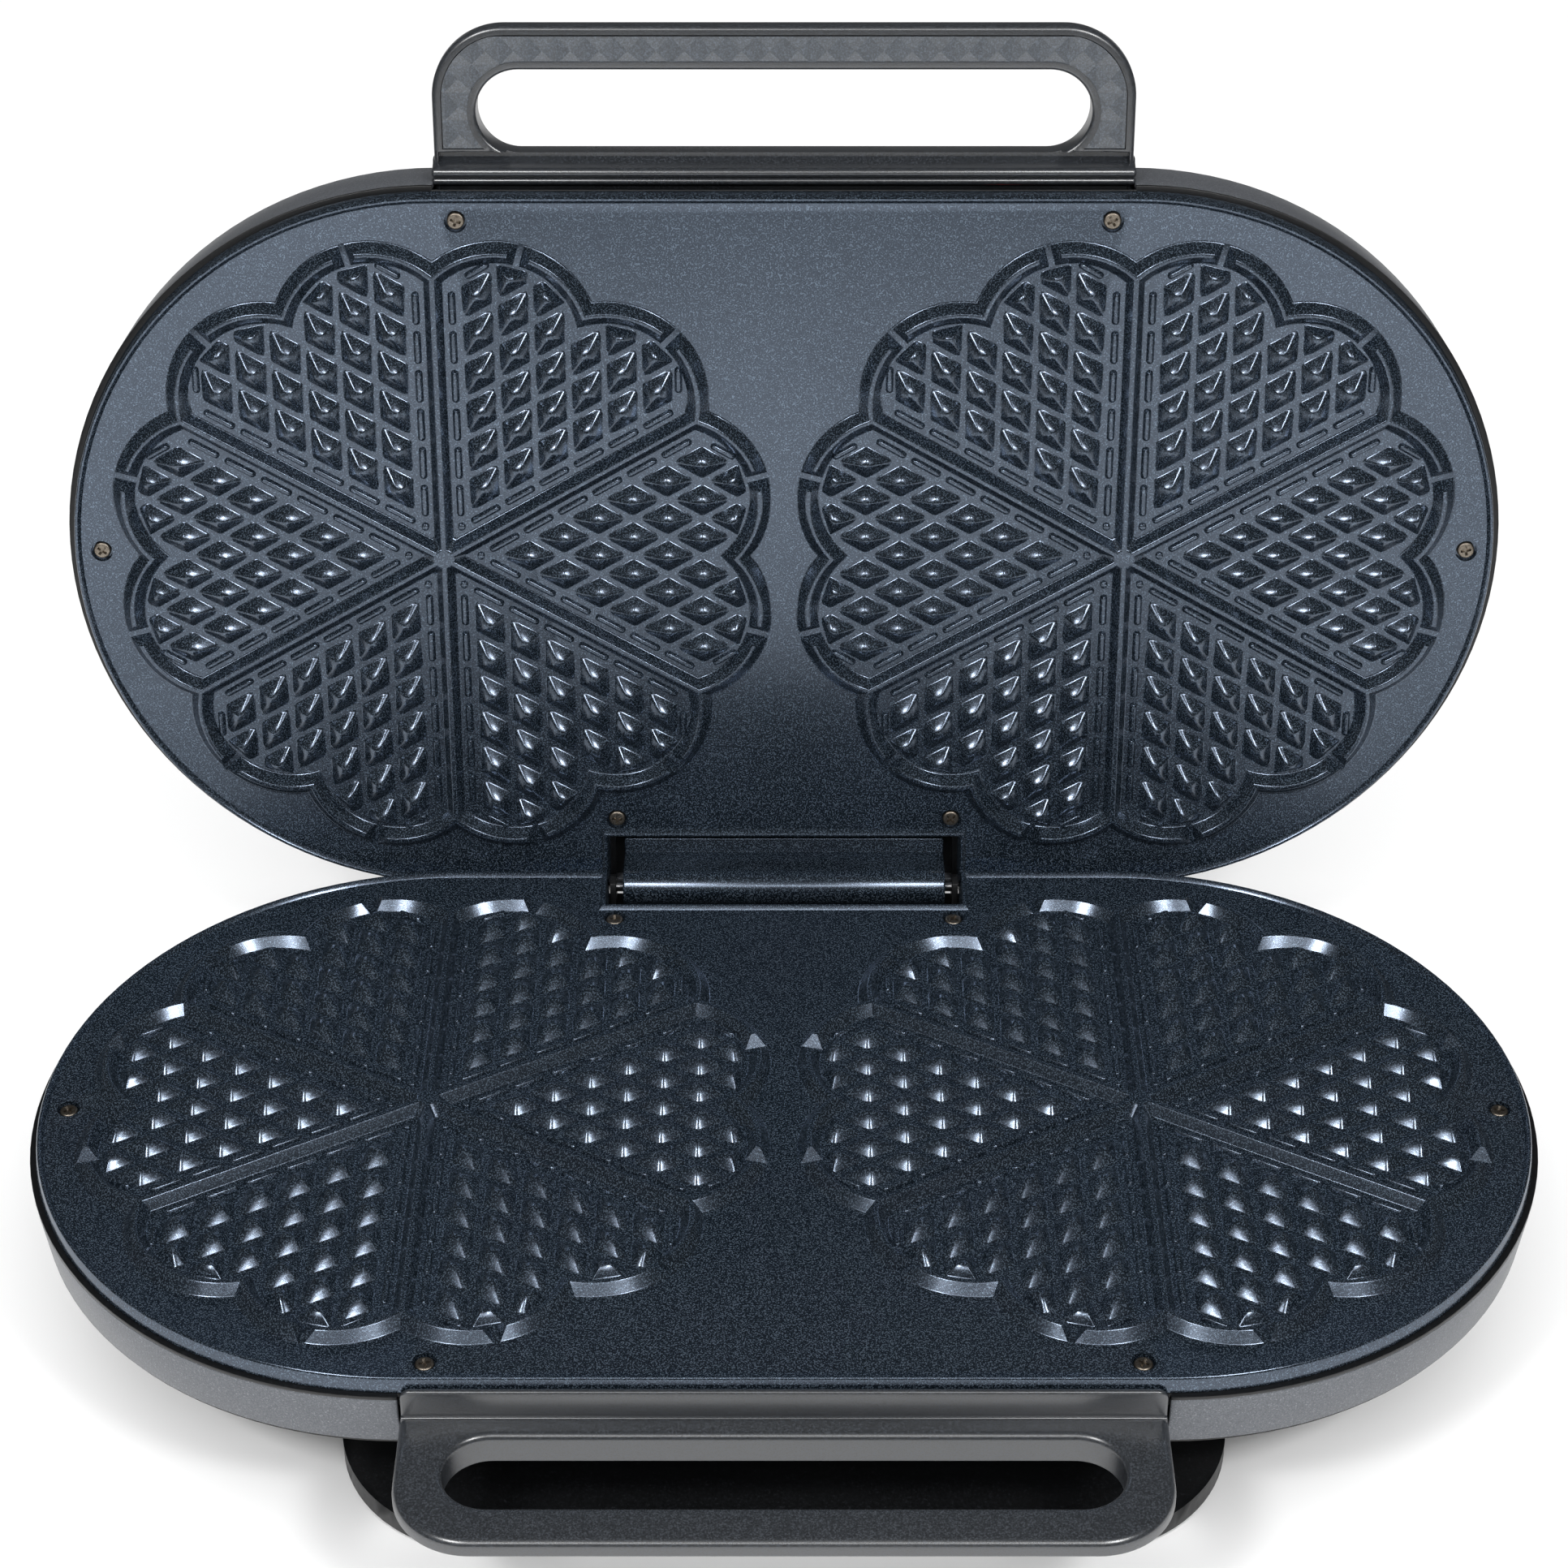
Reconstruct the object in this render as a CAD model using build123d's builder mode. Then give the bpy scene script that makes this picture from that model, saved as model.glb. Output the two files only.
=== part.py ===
from build123d import *
from math import asin, atan2, cos, degrees, radians, sin, sqrt, tan
import os

os.makedirs("parts", exist_ok=True)

# A countertop cooker for two flowers of five-heart waffles, standing open.
# Millimetres. X runs left to right, Y from the grips to the hinge, Z up from the table.
# Each half is drawn as the lower one: heights count from the plate's flat face, and
# less than zero is away from the food. The lid's pieces are then turned over and opened.

# Plan of both halves, at the plate's edge
plateHalfWidth = 222.0
plateHalfDepth = 116.5
landHeight = 64.0
lidAngle = 98.7
bodyShift = -14.6

# Plate: a bead runs round a flat field
rimHeight = 1.3
rimSlope = 0.9
rimBand = 1.7
landInset = 2.8
skirtDrop = 3.5
plateDepth = 6.0
slabInset = 2.5
notchHalfWidth = 56.6
notchMargin = 7.1
hingeSetback = 4.4
barrelRadius = 6.0
endSides = 48
innerSides = 24
hiddenSides = 12

# Flowers: twelve lobes on a ring, six hearts, walls between them
flowerSpacing = 212.0
lobeRing = 73.4
lobeRadius = 31.0
wallHeight = 3.5
wallTop = 1.3
wallSlope = 2.6
dividerTop = 1.4
dividerSlope = 2.1
hubRadius = 3.2
hubFoot = 6.6
plateGap = 0.3
outerChords = 5
innerChords = 4
lobeTurn = 53.0
heartTurn = (-50.0, 70.0)

# Four-sided points on a lattice that follows each heart's two straight sides
cellPitch = 12.5
firstCell = 26.5
cellHeight = 3.1
fieldGap = 1.3
fieldSlope = 3.7

# Plate screws: one set beside the grip, one at the ends, one beside the hinge
gripScrew = (98.4, -108.1)
endScrew = (213.2, -1.5)
hingeScrew = (54.1, 92.6)
screwHead = 2.7
headDepth = 1.6
recessDepth = 1.9
screwPlay = 0.35

# Frame ring and metal band
ledgeReach = 1.7
ledgeThickness = 1.2
lipInset = 0.9
shelfInset = 13.0
shelfThickness = 3.0
bandHeight = 17.5
bandTaper = 2.2
bandWall = 1.6
seatGap = 0.3

# Lid cover over the band
shoulderInset = 5.0
shoulderDrop = 6.3
crownInset = 16.0
crownDrop = 9.5

# Reflector and heater
trayInset = 10.0
sheet = 0.8
heaterHalfWidth = 168.0
heaterHalfDepth = 62.0
heaterSize = 6.4
heaterGap = 0.4
heaterCorner = 40.0
terminalX = 22.0

# Handles
handleHalfWidth = 105.0
handleReach = 48.0
handleCorner = 22.0
slotMargin = 13.0
slotDepth = 25.7
slotSetback = 9.0
gripDrop = 10.8
gripUnderside = 5.0
flangeRise = 9.8
flangeThickness = 1.8
flangeClearance = 0.5
handleScrewMargin = 25.0
handleScrewSetback = 5.5
tongueDepth = 9.7
flangeBevel = 1.7

# Inlay of the lid's grip
inlayBorder = 2.6
inlaySlotBorder = 2.0
inlayDepth = 1.4
inlayPlay = 0.3
inlayCell = 8.4
inlayWeb = 0.6
inlayCellHeight = 1.0
inlayThickness = 0.9

# Hinge
hingeDrop = 2.0
barrelHalfLength = 52.0
pinRadius = 1.7
pinPlay = 0.05
troughPlay = 1.35
troughWall = 1.45
knuckleFace = 3.0
knuckleThickness = 4.0
bracketThickness = 2.0
earRadius = 4.0

# Bottom cover and stand
coverInset = 1.4
coverThickness = 1.7
standHalfWidth = 128.0
standHalfDepth = 120.0
standCorner = 46.0
standClearance = 1.0
standRim = 6.5
standWall = 3.0
neckHalfWidth = 92.0
neckHalfDepth = 82.0
neckCorner = 26.0
neckTaper = 8.0
hollowCorner = 40.0
footX = 94.0
footY = 86.0
footRadius = 8.0
footThickness = 2.2

# Control and lamps on the lid
dialY = -70.0
dialRadius = 17.0
dialHeight = 11.0
shaftRadius = 3.0
shaftPlay = 0.05
lampX = 70.0
lampPitch = 14.0
lampY = -86.0
lampRadius = 4.0

hingeY = plateHalfDepth - hingeSetback
notchFront = hingeY - barrelRadius - notchMargin
troughFloor = hingeDrop + barrelRadius + troughPlay
slotHalfLength = handleHalfWidth - slotMargin
handleScrewX = handleHalfWidth - handleScrewMargin
handleScrewY = handleScrewSetback - plateHalfDepth
ledgeTop = -skirtDrop
ledgeBottom = ledgeTop - ledgeThickness
shelfTop = -plateDepth
shelfBottom = shelfTop - shelfThickness
bandBottom = ledgeBottom - bandHeight
coverBottom = bandBottom - coverThickness
closedGap = 2 * wallHeight + plateGap
gripTop = -gripDrop
gripBottom = bandBottom + bandWall
flowerX = flowerSpacing / 2
endX = plateHalfWidth - plateHalfDepth
plateFront = -plateHalfDepth
handleFront = plateFront - handleReach
slotY = plateFront - slotSetback - slotDepth / 2
screwPoints = [(side * x, y) for x, y in (gripScrew, endScrew, hingeScrew) for side in (-1, 1)]
handlePoints = [(-handleScrewX, handleScrewY), (handleScrewX, handleScrewY)]
lampPoints = [(lampX, lampY), (lampX + lampPitch, lampY)]


def level(height):
    return Plane.XY.offset(landHeight + height)


# Plan outline of a half, drawn in from the plate's edge: straight sides and round ends.
# Edges that nothing shows have fewer sides at their ends.
def oval(inset, height, sides=endSides):
    radius = plateHalfDepth - inset
    with BuildSketch(level(height)) as shape:
        with Locations((-endX, 0), (endX, 0)):
            RegularPolygon(radius, sides)
        Rectangle(2 * endX, 2 * radius)
    return shape.sketch


# The same with the hinge's notch at the back
def notched(inset, height, sides=endSides):
    radius = plateHalfDepth - inset
    with BuildSketch(level(height)) as shape:
        with Locations((-endX, 0), (endX, 0)):
            RegularPolygon(radius, sides)
        Rectangle(2 * endX, 2 * radius)
        with Locations((0, notchFront - inset + plateHalfDepth)):
            Rectangle(2 * (notchHalfWidth + inset), 2 * plateHalfDepth, mode=Mode.SUBTRACT)
    return shape.sketch


# A square-cornered block between two corners
def block(low, high, mode=Mode.ADD):
    middle = [(a + b) / 2 for a, b in zip(low, high)]
    size = [b - a for a, b in zip(low, high)]
    with Locations((middle[0], middle[1], landHeight + middle[2])):
        Box(size[0], size[1], size[2], mode=mode)


# Short prisms for screws and their holes
def pegs(points, radius, low, high, mode=Mode.ADD, sides=8):
    with BuildSketch(level(low)) as shape:
        with Locations(*points):
            RegularPolygon(radius, sides)
    extrude(shape.sketch, amount=high - low, mode=mode)


def polar(radius, angle):
    return (radius * cos(radians(angle)), radius * sin(radians(angle)))


# Points on an arc from one angle to another. Those between the ends stand at the
# same angles whatever the radius, so that sloped walls are made of flat faces.
def arcPoints(centre, radius, first, last, turn, chords):
    angles = [first] + [turn[0] + (turn[1] - turn[0]) * k / chords for k in range(1, chords)]
    points = []
    for angle in angles + [last]:
        x, y = polar(radius, angle)
        points.append((centre[0] + x, centre[1] + y))
    return points


# Flower outline: twelve lobes that meet in cusps
def flowerOutline(lobe, height):
    half = 15 + degrees(asin(lobeRing * sin(radians(15)) / lobe))
    points = []
    for step in range(12):
        crest = 30 * step + 15
        turn = (crest - lobeTurn, crest + lobeTurn)
        centre = polar(lobeRing, crest)
        points += arcPoints(centre, lobe, crest - half, crest + half, turn, outerChords)[1:]
    with BuildSketch(level(height)) as shape:
        Polygon(*points, align=None)
    return shape.sketch


# One heart's field on the +X axis: blunt tip, two straight sides, two lobes
def heartOutline(side, lobe, tip, height):
    along = lobeRing * cos(radians(15))
    across = lobeRing * sin(radians(15))
    first = -degrees(asin(across / lobe))
    reach = along + sqrt(lobe**2 - (across - side) ** 2)
    cornerX = reach * cos(radians(30)) + side * sin(radians(30))
    cornerY = reach * sin(radians(30)) - side * cos(radians(30))
    last = degrees(atan2(cornerY - across, cornerX - along))
    tipY = (tip - 2 * side) * tan(radians(30))
    upper = arcPoints((along, across), lobe, first, last, heartTurn, innerChords)
    upper += [(tip, tipY)]
    lower = [(x, -y) for x, y in reversed(upper)]
    with BuildSketch(level(height)) as shape:
        Polygon(*upper, *lower[:-1], align=None)
    return shape.sketch


# Limit of the pointed field: two chords under each lobe
def fieldOutline(pull, height):
    along = lobeRing * cos(radians(15))
    across = lobeRing * sin(radians(15))
    lobe = lobeRadius - wallTop - 2 * wallSlope - fieldGap
    half = lobe * 0.54
    shallow = sqrt(lobe**2 - half**2)
    right = [
        (firstCell / 3, 1),
        (along, 0.9 * along * tan(radians(30))),
        (along + shallow - pull, across + half),
        (along + lobe - pull, across),
        (along + shallow - pull, across - half),
    ]
    left = [(x, -y) for x, y in reversed(right)]
    cusp = (along + sqrt(lobe**2 - across**2) - pull, 0)
    with BuildSketch(level(height)) as shape:
        Polygon(*right, cusp, *left, align=None)
    return shape.sketch


footLobe = lobeRadius - wallTop - 2 * wallSlope
topLobe = lobeRadius - wallTop - wallSlope
footSide = dividerTop / 2 + dividerSlope
with BuildPart() as pocket:
    low = heartOutline(footSide, footLobe, hubFoot, 0)
    high = heartOutline(dividerTop / 2, topLobe, hubRadius, wallHeight)
    loft([low, high], ruled=True)

stepX = cellPitch * cos(radians(30))
stepY = cellPitch * sin(radians(30))
with BuildPart() as point:
    with BuildSketch(level(0)) as foot:
        Polygon((stepX, 0), (0, stepY), (-stepX, 0), (0, -stepY), align=None)
    loft([foot.sketch.face(), Vertex(0, 0, landHeight + cellHeight)], ruled=True)

# A heart holds the cells whose row and column numbers fit under its two lobes
rowLimit = {1: 6, 2: 6, 3: 5, 4: 3, 5: 3, 6: 2}
cells = [(i, j) for i in rowLimit for j in range(1, rowLimit[i] + 1)]
with BuildPart() as heartPoints:
    extrude(fieldOutline(0, -1), amount=1)
    with Locations(*[(firstCell + (i + j - 2) * stepX, (i - j) * stepY) for i, j in cells]):
        add(point.part)
    with BuildPart(mode=Mode.INTERSECT):
        loft([fieldOutline(0, 0), fieldOutline(fieldSlope, wallHeight)], ruled=True)
        extrude(fieldOutline(0, -1), amount=1)

with BuildPart() as flower:
    low = flowerOutline(lobeRadius, 0)
    high = flowerOutline(lobeRadius - wallSlope, wallHeight)
    loft([low, high], ruled=True)
    with PolarLocations(0, 6):
        add(pocket.part, mode=Mode.SUBTRACT)
    with PolarLocations(0, 6):
        add(heartPoints.part)

with BuildPart() as plate:
    loft([notched(0, ledgeTop), notched(rimSlope, rimHeight)], ruled=True)
    extrude(notched(slabInset, shelfTop, hiddenSides), amount=ledgeTop - shelfTop)
    loft([notched(landInset, 0), notched(rimBand, rimHeight)], ruled=True, mode=Mode.SUBTRACT)
    pegs(screwPoints, screwHead + screwPlay, -recessDepth, rimHeight, Mode.SUBTRACT)
    with Locations((-flowerX, 0), (flowerX, 0)):
        add(flower.part)

with BuildPart() as plateScrews:
    pegs(screwPoints, screwHead, -recessDepth, headDepth - recessDepth)

# Ring between plate and band: a ledge outside, a lip, and a shelf that carries the plate
handleEdge = handleHalfWidth + seatGap
with BuildPart() as frameRing:
    extrude(notched(-ledgeReach, ledgeBottom), amount=ledgeThickness)
    extrude(notched(lipInset, shelfBottom, hiddenSides), amount=ledgeTop - shelfBottom)
    opening = notched(slabInset - seatGap, shelfTop, hiddenSides)
    extrude(opening, amount=ledgeTop - shelfTop, mode=Mode.SUBTRACT)
    extrude(notched(shelfInset, shelfBottom, hiddenSides), amount=shelfThickness, mode=Mode.SUBTRACT)
    flangeBack = plateFront - flangeClearance + 0.2
    low = (-handleEdge, plateFront - 2 * ledgeReach, ledgeBottom)
    block(low, (handleEdge, flangeBack, ledgeTop), Mode.SUBTRACT)

troughSide = notchHalfWidth + lipInset
troughFront = notchFront - lipInset
bridgeSide = notchHalfWidth + slabInset - seatGap
bridgeFront = notchFront - slabInset + seatGap
ledgeBack = plateHalfDepth + ledgeReach
lipBack = plateHalfDepth - lipInset
with BuildPart() as baseFrame:
    add(frameRing.part)
    floorBottom = -troughFloor - troughWall
    block((-bridgeSide, bridgeFront, floorBottom), (bridgeSide, lipBack, shelfBottom))
    block((-troughSide, lipBack, floorBottom), (troughSide, ledgeBack, -troughFloor))
    low = (-troughSide, troughFront, -troughFloor)
    block(low, (troughSide, ledgeBack, ledgeTop), Mode.SUBTRACT)

knuckleBottom = -knuckleFace - knuckleThickness
with BuildPart() as lidFrame:
    add(frameRing.part)
    low = (-bridgeSide, bridgeFront, floorBottom)
    block(low, (bridgeSide, lipBack, knuckleBottom))

# Where the supply cord enters at the back
grommetRadius = 3.3
grommetZ = (floorBottom + bandBottom + bandWall) / 2 - 0.5


def plug(radius, near, far, mode=Mode.ADD):
    with BuildSketch(Plane.XZ.offset(-far)) as shape:
        with Locations((handleScrewX, landHeight + grommetZ)):
            RegularPolygon(radius, 10)
    extrude(shape.sketch, amount=far - near, mode=mode)


# Band of the lower half, open above and below
bandFoot = bandTaper - ledgeReach
flangeTop = bandBottom + bandWall
with BuildPart() as baseHousing:
    loft([oval(-ledgeReach, ledgeBottom), oval(bandFoot, bandBottom)], ruled=True)
    wallIn = bandWall - ledgeReach
    foot = oval(bandWall + bandFoot, bandBottom, innerSides)
    inner = [oval(wallIn, ledgeBottom, innerSides), foot]
    loft(inner, ruled=True, mode=Mode.SUBTRACT)
    low = (-handleEdge, plateFront - 2 * ledgeReach, flangeTop)
    block(low, (handleEdge, plateFront + 2 * bandWall, ledgeBottom), Mode.SUBTRACT)
    backEdge = troughSide + seatGap
    low = (-backEdge, plateHalfDepth - 2 * bandWall, floorBottom)
    block(low, (backEdge, plateHalfDepth + 2 * ledgeReach, ledgeBottom), Mode.SUBTRACT)
    plug(grommetRadius + seatGap, plateHalfDepth - 5, plateHalfDepth + 5, Mode.SUBTRACT)

with BuildPart() as cordGrommet:
    plug(grommetRadius, plateHalfDepth - 5, plateHalfDepth + 3)
    plug(grommetRadius + 1.1, plateHalfDepth + 2, plateHalfDepth + 4)

# Cover of the upper half: band, shoulder, crown
shoulderZ = bandBottom - shoulderDrop
crownZ = bandBottom - crownDrop
with BuildPart() as lidHousing:
    loft([oval(-ledgeReach, ledgeBottom), oval(bandFoot, bandBottom)], ruled=True)
    loft([oval(bandFoot, bandBottom), oval(shoulderInset, shoulderZ)], ruled=True)
    loft([oval(shoulderInset, shoulderZ), oval(crownInset, crownZ)], ruled=True)
    wallIn = bandWall - ledgeReach
    innerFoot = wallIn + bandTaper
    innerShoulder = shoulderZ + 0.8 * bandWall
    shoulderIn = shoulderInset + 0.9 * bandWall
    inner = [oval(wallIn, ledgeBottom, innerSides), oval(innerFoot, bandBottom, innerSides)]
    loft(inner, ruled=True, mode=Mode.SUBTRACT)
    inner = [oval(innerFoot, bandBottom, innerSides), oval(shoulderIn, innerShoulder, innerSides)]
    loft(inner, ruled=True, mode=Mode.SUBTRACT)
    crown = oval(crownInset, crownZ + bandWall, innerSides)
    inner = [oval(shoulderIn, innerShoulder, innerSides), crown]
    loft(inner, ruled=True, mode=Mode.SUBTRACT)
    low = (-handleEdge, plateFront - 2 * ledgeReach, flangeTop)
    block(low, (handleEdge, plateFront + 2 * bandWall, ledgeBottom), Mode.SUBTRACT)
    knuckleEdge = barrelHalfLength + seatGap
    low = (-knuckleEdge, plateHalfDepth - 2 * bandWall, knuckleBottom - seatGap)
    block(low, (knuckleEdge, plateHalfDepth + 2 * ledgeReach, ledgeBottom), Mode.SUBTRACT)
    crownInside = crownZ + bandWall
    pegs([(0, dialY)], shaftRadius + 0.8, crownZ, crownInside, Mode.SUBTRACT)
    pegs(lampPoints, lampRadius + seatGap, crownZ, crownInside, Mode.SUBTRACT, 10)

# Reflector tray, hung under the frame's shelf
heaterBottom = shelfTop - heaterSize
trayTop = heaterBottom - heaterGap
with BuildPart() as reflector:
    extrude(notched(trayInset, trayTop - sheet, hiddenSides), amount=shelfBottom - trayTop + sheet)
    inside = notched(trayInset + sheet, trayTop, hiddenSides)
    extrude(inside, amount=shelfBottom - trayTop, mode=Mode.SUBTRACT)
    for x in (-terminalX, terminalX):
        low = (x - 4, heaterHalfDepth - 4, trayTop - sheet)
        block(low, (x + 4, heaterHalfDepth + 4, trayTop), Mode.SUBTRACT)

# Heater: a pressed tube in one turn under both flowers, with two terminals
with BuildPart() as heater:
    with BuildSketch(level(heaterBottom)) as turn:
        outer = heaterSize / 2
        Rectangle(2 * (heaterHalfWidth + outer), 2 * (heaterHalfDepth + outer))
        chamfer(turn.vertices(), heaterCorner + outer / 2)
        with BuildSketch(mode=Mode.SUBTRACT) as middle:
            Rectangle(2 * (heaterHalfWidth - outer), 2 * (heaterHalfDepth - outer))
            chamfer(middle.vertices(), heaterCorner - outer / 2)
        with Locations((0, heaterHalfDepth)):
            Rectangle(2 * (terminalX - outer), 4 * heaterSize, mode=Mode.SUBTRACT)
    extrude(turn.sketch, amount=heaterSize)
    for x in (-terminalX, terminalX):
        low = (x - 1.5, heaterHalfDepth - 1.5, heaterBottom - 5)
        block(low, (x + 1.5, heaterHalfDepth + 1.5, heaterBottom))

# Handle loop with its finger slot, drawn once for both halves
rootBack = plateFront + tongueDepth
with BuildPart() as loop:
    with BuildSketch(level(gripBottom)) as plan:
        with Locations((0, (handleFront + plateFront) / 2)):
            Rectangle(2 * handleHalfWidth, handleReach)
        outerCorners = plan.vertices().group_by(Axis.Y)[0]
        fillet(outerCorners, handleCorner)
        with Locations((0, slotY)):
            SlotOverall(2 * slotHalfLength, slotDepth, mode=Mode.SUBTRACT)
    extrude(plan.sketch, amount=gripTop - gripBottom)
    under = loop.faces().sort_by(Axis.Z)[0].outer_wire().edges()
    under = under.filter_by(lambda edge: edge.center().Y < plateFront - 1)
    chamfer(under, gripUnderside)
    low = (-handleHalfWidth, plateFront - 0.1, gripBottom)
    block(low, (handleHalfWidth, plateFront + 2 * bandWall - seatGap, gripTop))
    tongue = handleScrewX + 8
    block((-tongue, plateFront, gripBottom), (tongue, rootBack, gripTop))

flangeY = plateFront - flangeClearance
with BuildPart() as lowerHandle:
    add(loop.part)
    low = (-handleHalfWidth, flangeY - flangeThickness, gripTop)
    block(low, (handleHalfWidth, flangeY, gripTop + flangeRise))

# The lid's handle has a thicker flange and a bed for the inlay
lidFlange = slotSetback - flangeClearance - 2.0
inlayFront = handleFront + inlayBorder
inlayBack = plateFront - slotSetback - 1.5


def inlayOutline(play, height):
    with BuildSketch(level(height)) as shape:
        with Locations((0, (inlayFront + inlayBack) / 2)):
            wide = 2 * (handleHalfWidth - inlayBorder - play)
            Rectangle(wide, inlayBack - inlayFront - 2 * play)
        outerCorners = shape.vertices().group_by(Axis.Y)[0]
        fillet(outerCorners, handleCorner - inlayBorder - play)
        with Locations((0, slotY)):
            grow = 2 * (inlaySlotBorder + play)
            SlotOverall(2 * slotHalfLength + grow, slotDepth + grow, mode=Mode.SUBTRACT)
    pieces = shape.sketch.faces().sort_by(SortBy.AREA)
    return pieces[-1]


with BuildPart() as lidHandle:
    add(loop.part)
    low = (-handleHalfWidth, flangeY - lidFlange, gripTop)
    block(low, (handleHalfWidth, flangeY, gripTop + flangeRise))
    edges = lidHandle.edges().filter_by(Axis.X).group_by(Axis.Z)[-1]
    chamfer(edges, flangeBevel)
    bed = inlayOutline(0, gripTop - inlayDepth)
    extrude(bed, amount=inlayDepth, mode=Mode.SUBTRACT)

# Inlay: one row of low square points along the bar and down both legs
inlayBase = gripTop - inlayDepth
inlayTop = inlayBase + inlayThickness
with BuildPart() as inlayPoint:
    with BuildSketch(level(inlayTop)) as foot:
        Rectangle(inlayCell - inlayWeb, inlayCell - inlayWeb)
    loft([foot.sketch.face(), Vertex(0, 0, landHeight + inlayTop + inlayCellHeight)], ruled=True)

with BuildPart() as inlay:
    barY = (inlayFront + slotY - slotDepth / 2 - inlaySlotBorder) / 2
    legX = (handleHalfWidth - inlayBorder + slotHalfLength + inlaySlotBorder) / 2
    reach = int((handleHalfWidth - handleCorner - inlayCell / 2) / inlayCell)
    barCells = [(step * inlayCell, barY) for step in range(-reach, reach + 1)]
    legRows = [barY + step * inlayCell for step in (2, 3)]
    legCells = [(side * legX, y) for side in (-1, 1) for y in legRows]
    legCells = [(x, y) for x, y in legCells if y + inlayCell / 2 < inlayBack]
    extrude(inlayOutline(inlayPlay, inlayBase), amount=inlayThickness)
    with Locations(*barCells, *legCells):
        add(inlayPoint.part)

# Heads under the handle's tongue
with BuildPart() as handleScrews:
    pegs(handlePoints, screwHead, gripBottom - headDepth, gripBottom, sides=6)

# Hinge: a barrel under a plate that is screwed to the lid's frame
axisZ = closedGap + hingeDrop
pinOuter = notchHalfWidth - seatGap
with BuildPart() as knuckle:
    low = (-barrelHalfLength, notchFront + ledgeReach + seatGap, knuckleBottom)
    block(low, (barrelHalfLength, lipBack, -knuckleFace))
    low = (-barrelHalfLength, hingeY - barrelRadius, knuckleBottom)
    block(low, (barrelHalfLength, hingeY + barrelRadius, axisZ))
    turn = (0, 90, 0)
    with Locations((0, hingeY, landHeight + axisZ)):
        Cylinder(barrelRadius, 2 * barrelHalfLength, rotation=turn)

with BuildPart() as pins:
    for side in (-1, 1):
        with Locations((side * (barrelHalfLength + pinOuter) / 2, hingeY, landHeight + axisZ)):
            Cylinder(pinRadius, pinOuter - barrelHalfLength, rotation=turn)

# Heads under the bridge that carries the knuckle
with BuildPart() as hingeScrews:
    bridgePoints = [(-handleScrewX / 2, hingeY - 2), (handleScrewX / 2, hingeY - 2)]
    pegs(bridgePoints, screwHead, floorBottom - headDepth, floorBottom, sides=6)

# Steel ears at both ends of the trough, in which the pins turn
with BuildPart() as brackets:
    earOuter = notchHalfWidth - seatGap
    with BuildSketch(Plane.YZ.offset(earOuter - bracketThickness)) as profile:
        with Locations((hingeY, landHeight - hingeDrop)):
            RegularPolygon(earRadius, 8)
        with Locations((hingeY, landHeight - (hingeDrop + troughFloor) / 2)):
            Rectangle(2 * earRadius, troughFloor - hingeDrop)
        with Locations((hingeY, landHeight - hingeDrop)):
            Circle(pinRadius + pinPlay, mode=Mode.SUBTRACT)
    extrude(amount=bracketThickness)
    footTop = bracketThickness * 0.6 - troughFloor
    footBack = hingeY - barrelRadius - seatGap
    low = (earOuter - 10, troughFront + seatGap, -troughFloor)
    block(low, (earOuter, footBack, footTop))
    low = (earOuter - bracketThickness, footBack, -troughFloor)
    block(low, (earOuter, hingeY, footTop))
    mirror(about=Plane.YZ)

# Bottom cover, on the band's lower edge
with BuildPart() as bottomCover:
    extrude(oval(coverInset, coverBottom, innerSides), amount=coverThickness)

# Stand: a low foot plate, hollow below, and a tapered neck up to the cover
neckTop = landHeight + coverBottom


def standOutline(z):
    with BuildSketch(Plane.XY.offset(z)) as shape:
        RectangleRounded(2 * standHalfWidth, 2 * standHalfDepth, standCorner)
    return shape.sketch


def bevelled(halfWidth, halfDepth, corner, z):
    with BuildSketch(Plane.XY.offset(z)) as shape:
        Rectangle(2 * halfWidth, 2 * halfDepth)
        chamfer(shape.vertices(), corner)
    return shape.sketch


def neckOutline(inset, z):
    return bevelled(neckHalfWidth - inset, neckHalfDepth - inset, neckCorner, z)


def hollowOutline(inset, z):
    return bevelled(standHalfWidth - inset, standHalfDepth - inset, hollowCorner, z)


rimTop = standClearance + standRim
neckHeight = neckTop - rimTop
neckDraft = degrees(atan2(neckTaper, neckHeight))
with BuildPart() as stand:
    extrude(standOutline(standClearance), amount=standRim)
    extrude(neckOutline(0, rimTop), amount=neckHeight, taper=neckDraft)
    hollow = hollowOutline(standWall, standClearance)
    extrude(hollow, amount=standRim - standWall, mode=Mode.SUBTRACT)
    hollow = neckOutline(standWall, rimTop - standWall)
    extrude(hollow, amount=neckHeight, taper=neckDraft, mode=Mode.SUBTRACT)
    footPoints = [(sideX * footX, sideY * footY) for sideX in (-1, 1) for sideY in (-1, 1)]
    for x, y in footPoints:
        half = footRadius + 1
        with Locations((x, y, (footThickness + rimTop - standWall) / 2)):
            Box(2 * half, 2 * half, rimTop - standWall - footThickness)

with BuildPart() as feet:
    with BuildSketch() as soles:
        with Locations(*footPoints):
            RegularPolygon(footRadius, 12)
    extrude(amount=footThickness)

standPoints = [(sideX * 60, sideY * 50) for sideX in (-1, 1) for sideY in (-1, 1)]
with BuildPart() as standScrews:
    top = coverBottom - standWall
    pegs(standPoints, screwHead, top - headDepth, top, sides=6)

with BuildPart() as terminalBlock:
    block((-15, heaterHalfDepth - 7, bandBottom), (15, heaterHalfDepth + 7, bandBottom + 7))

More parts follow.
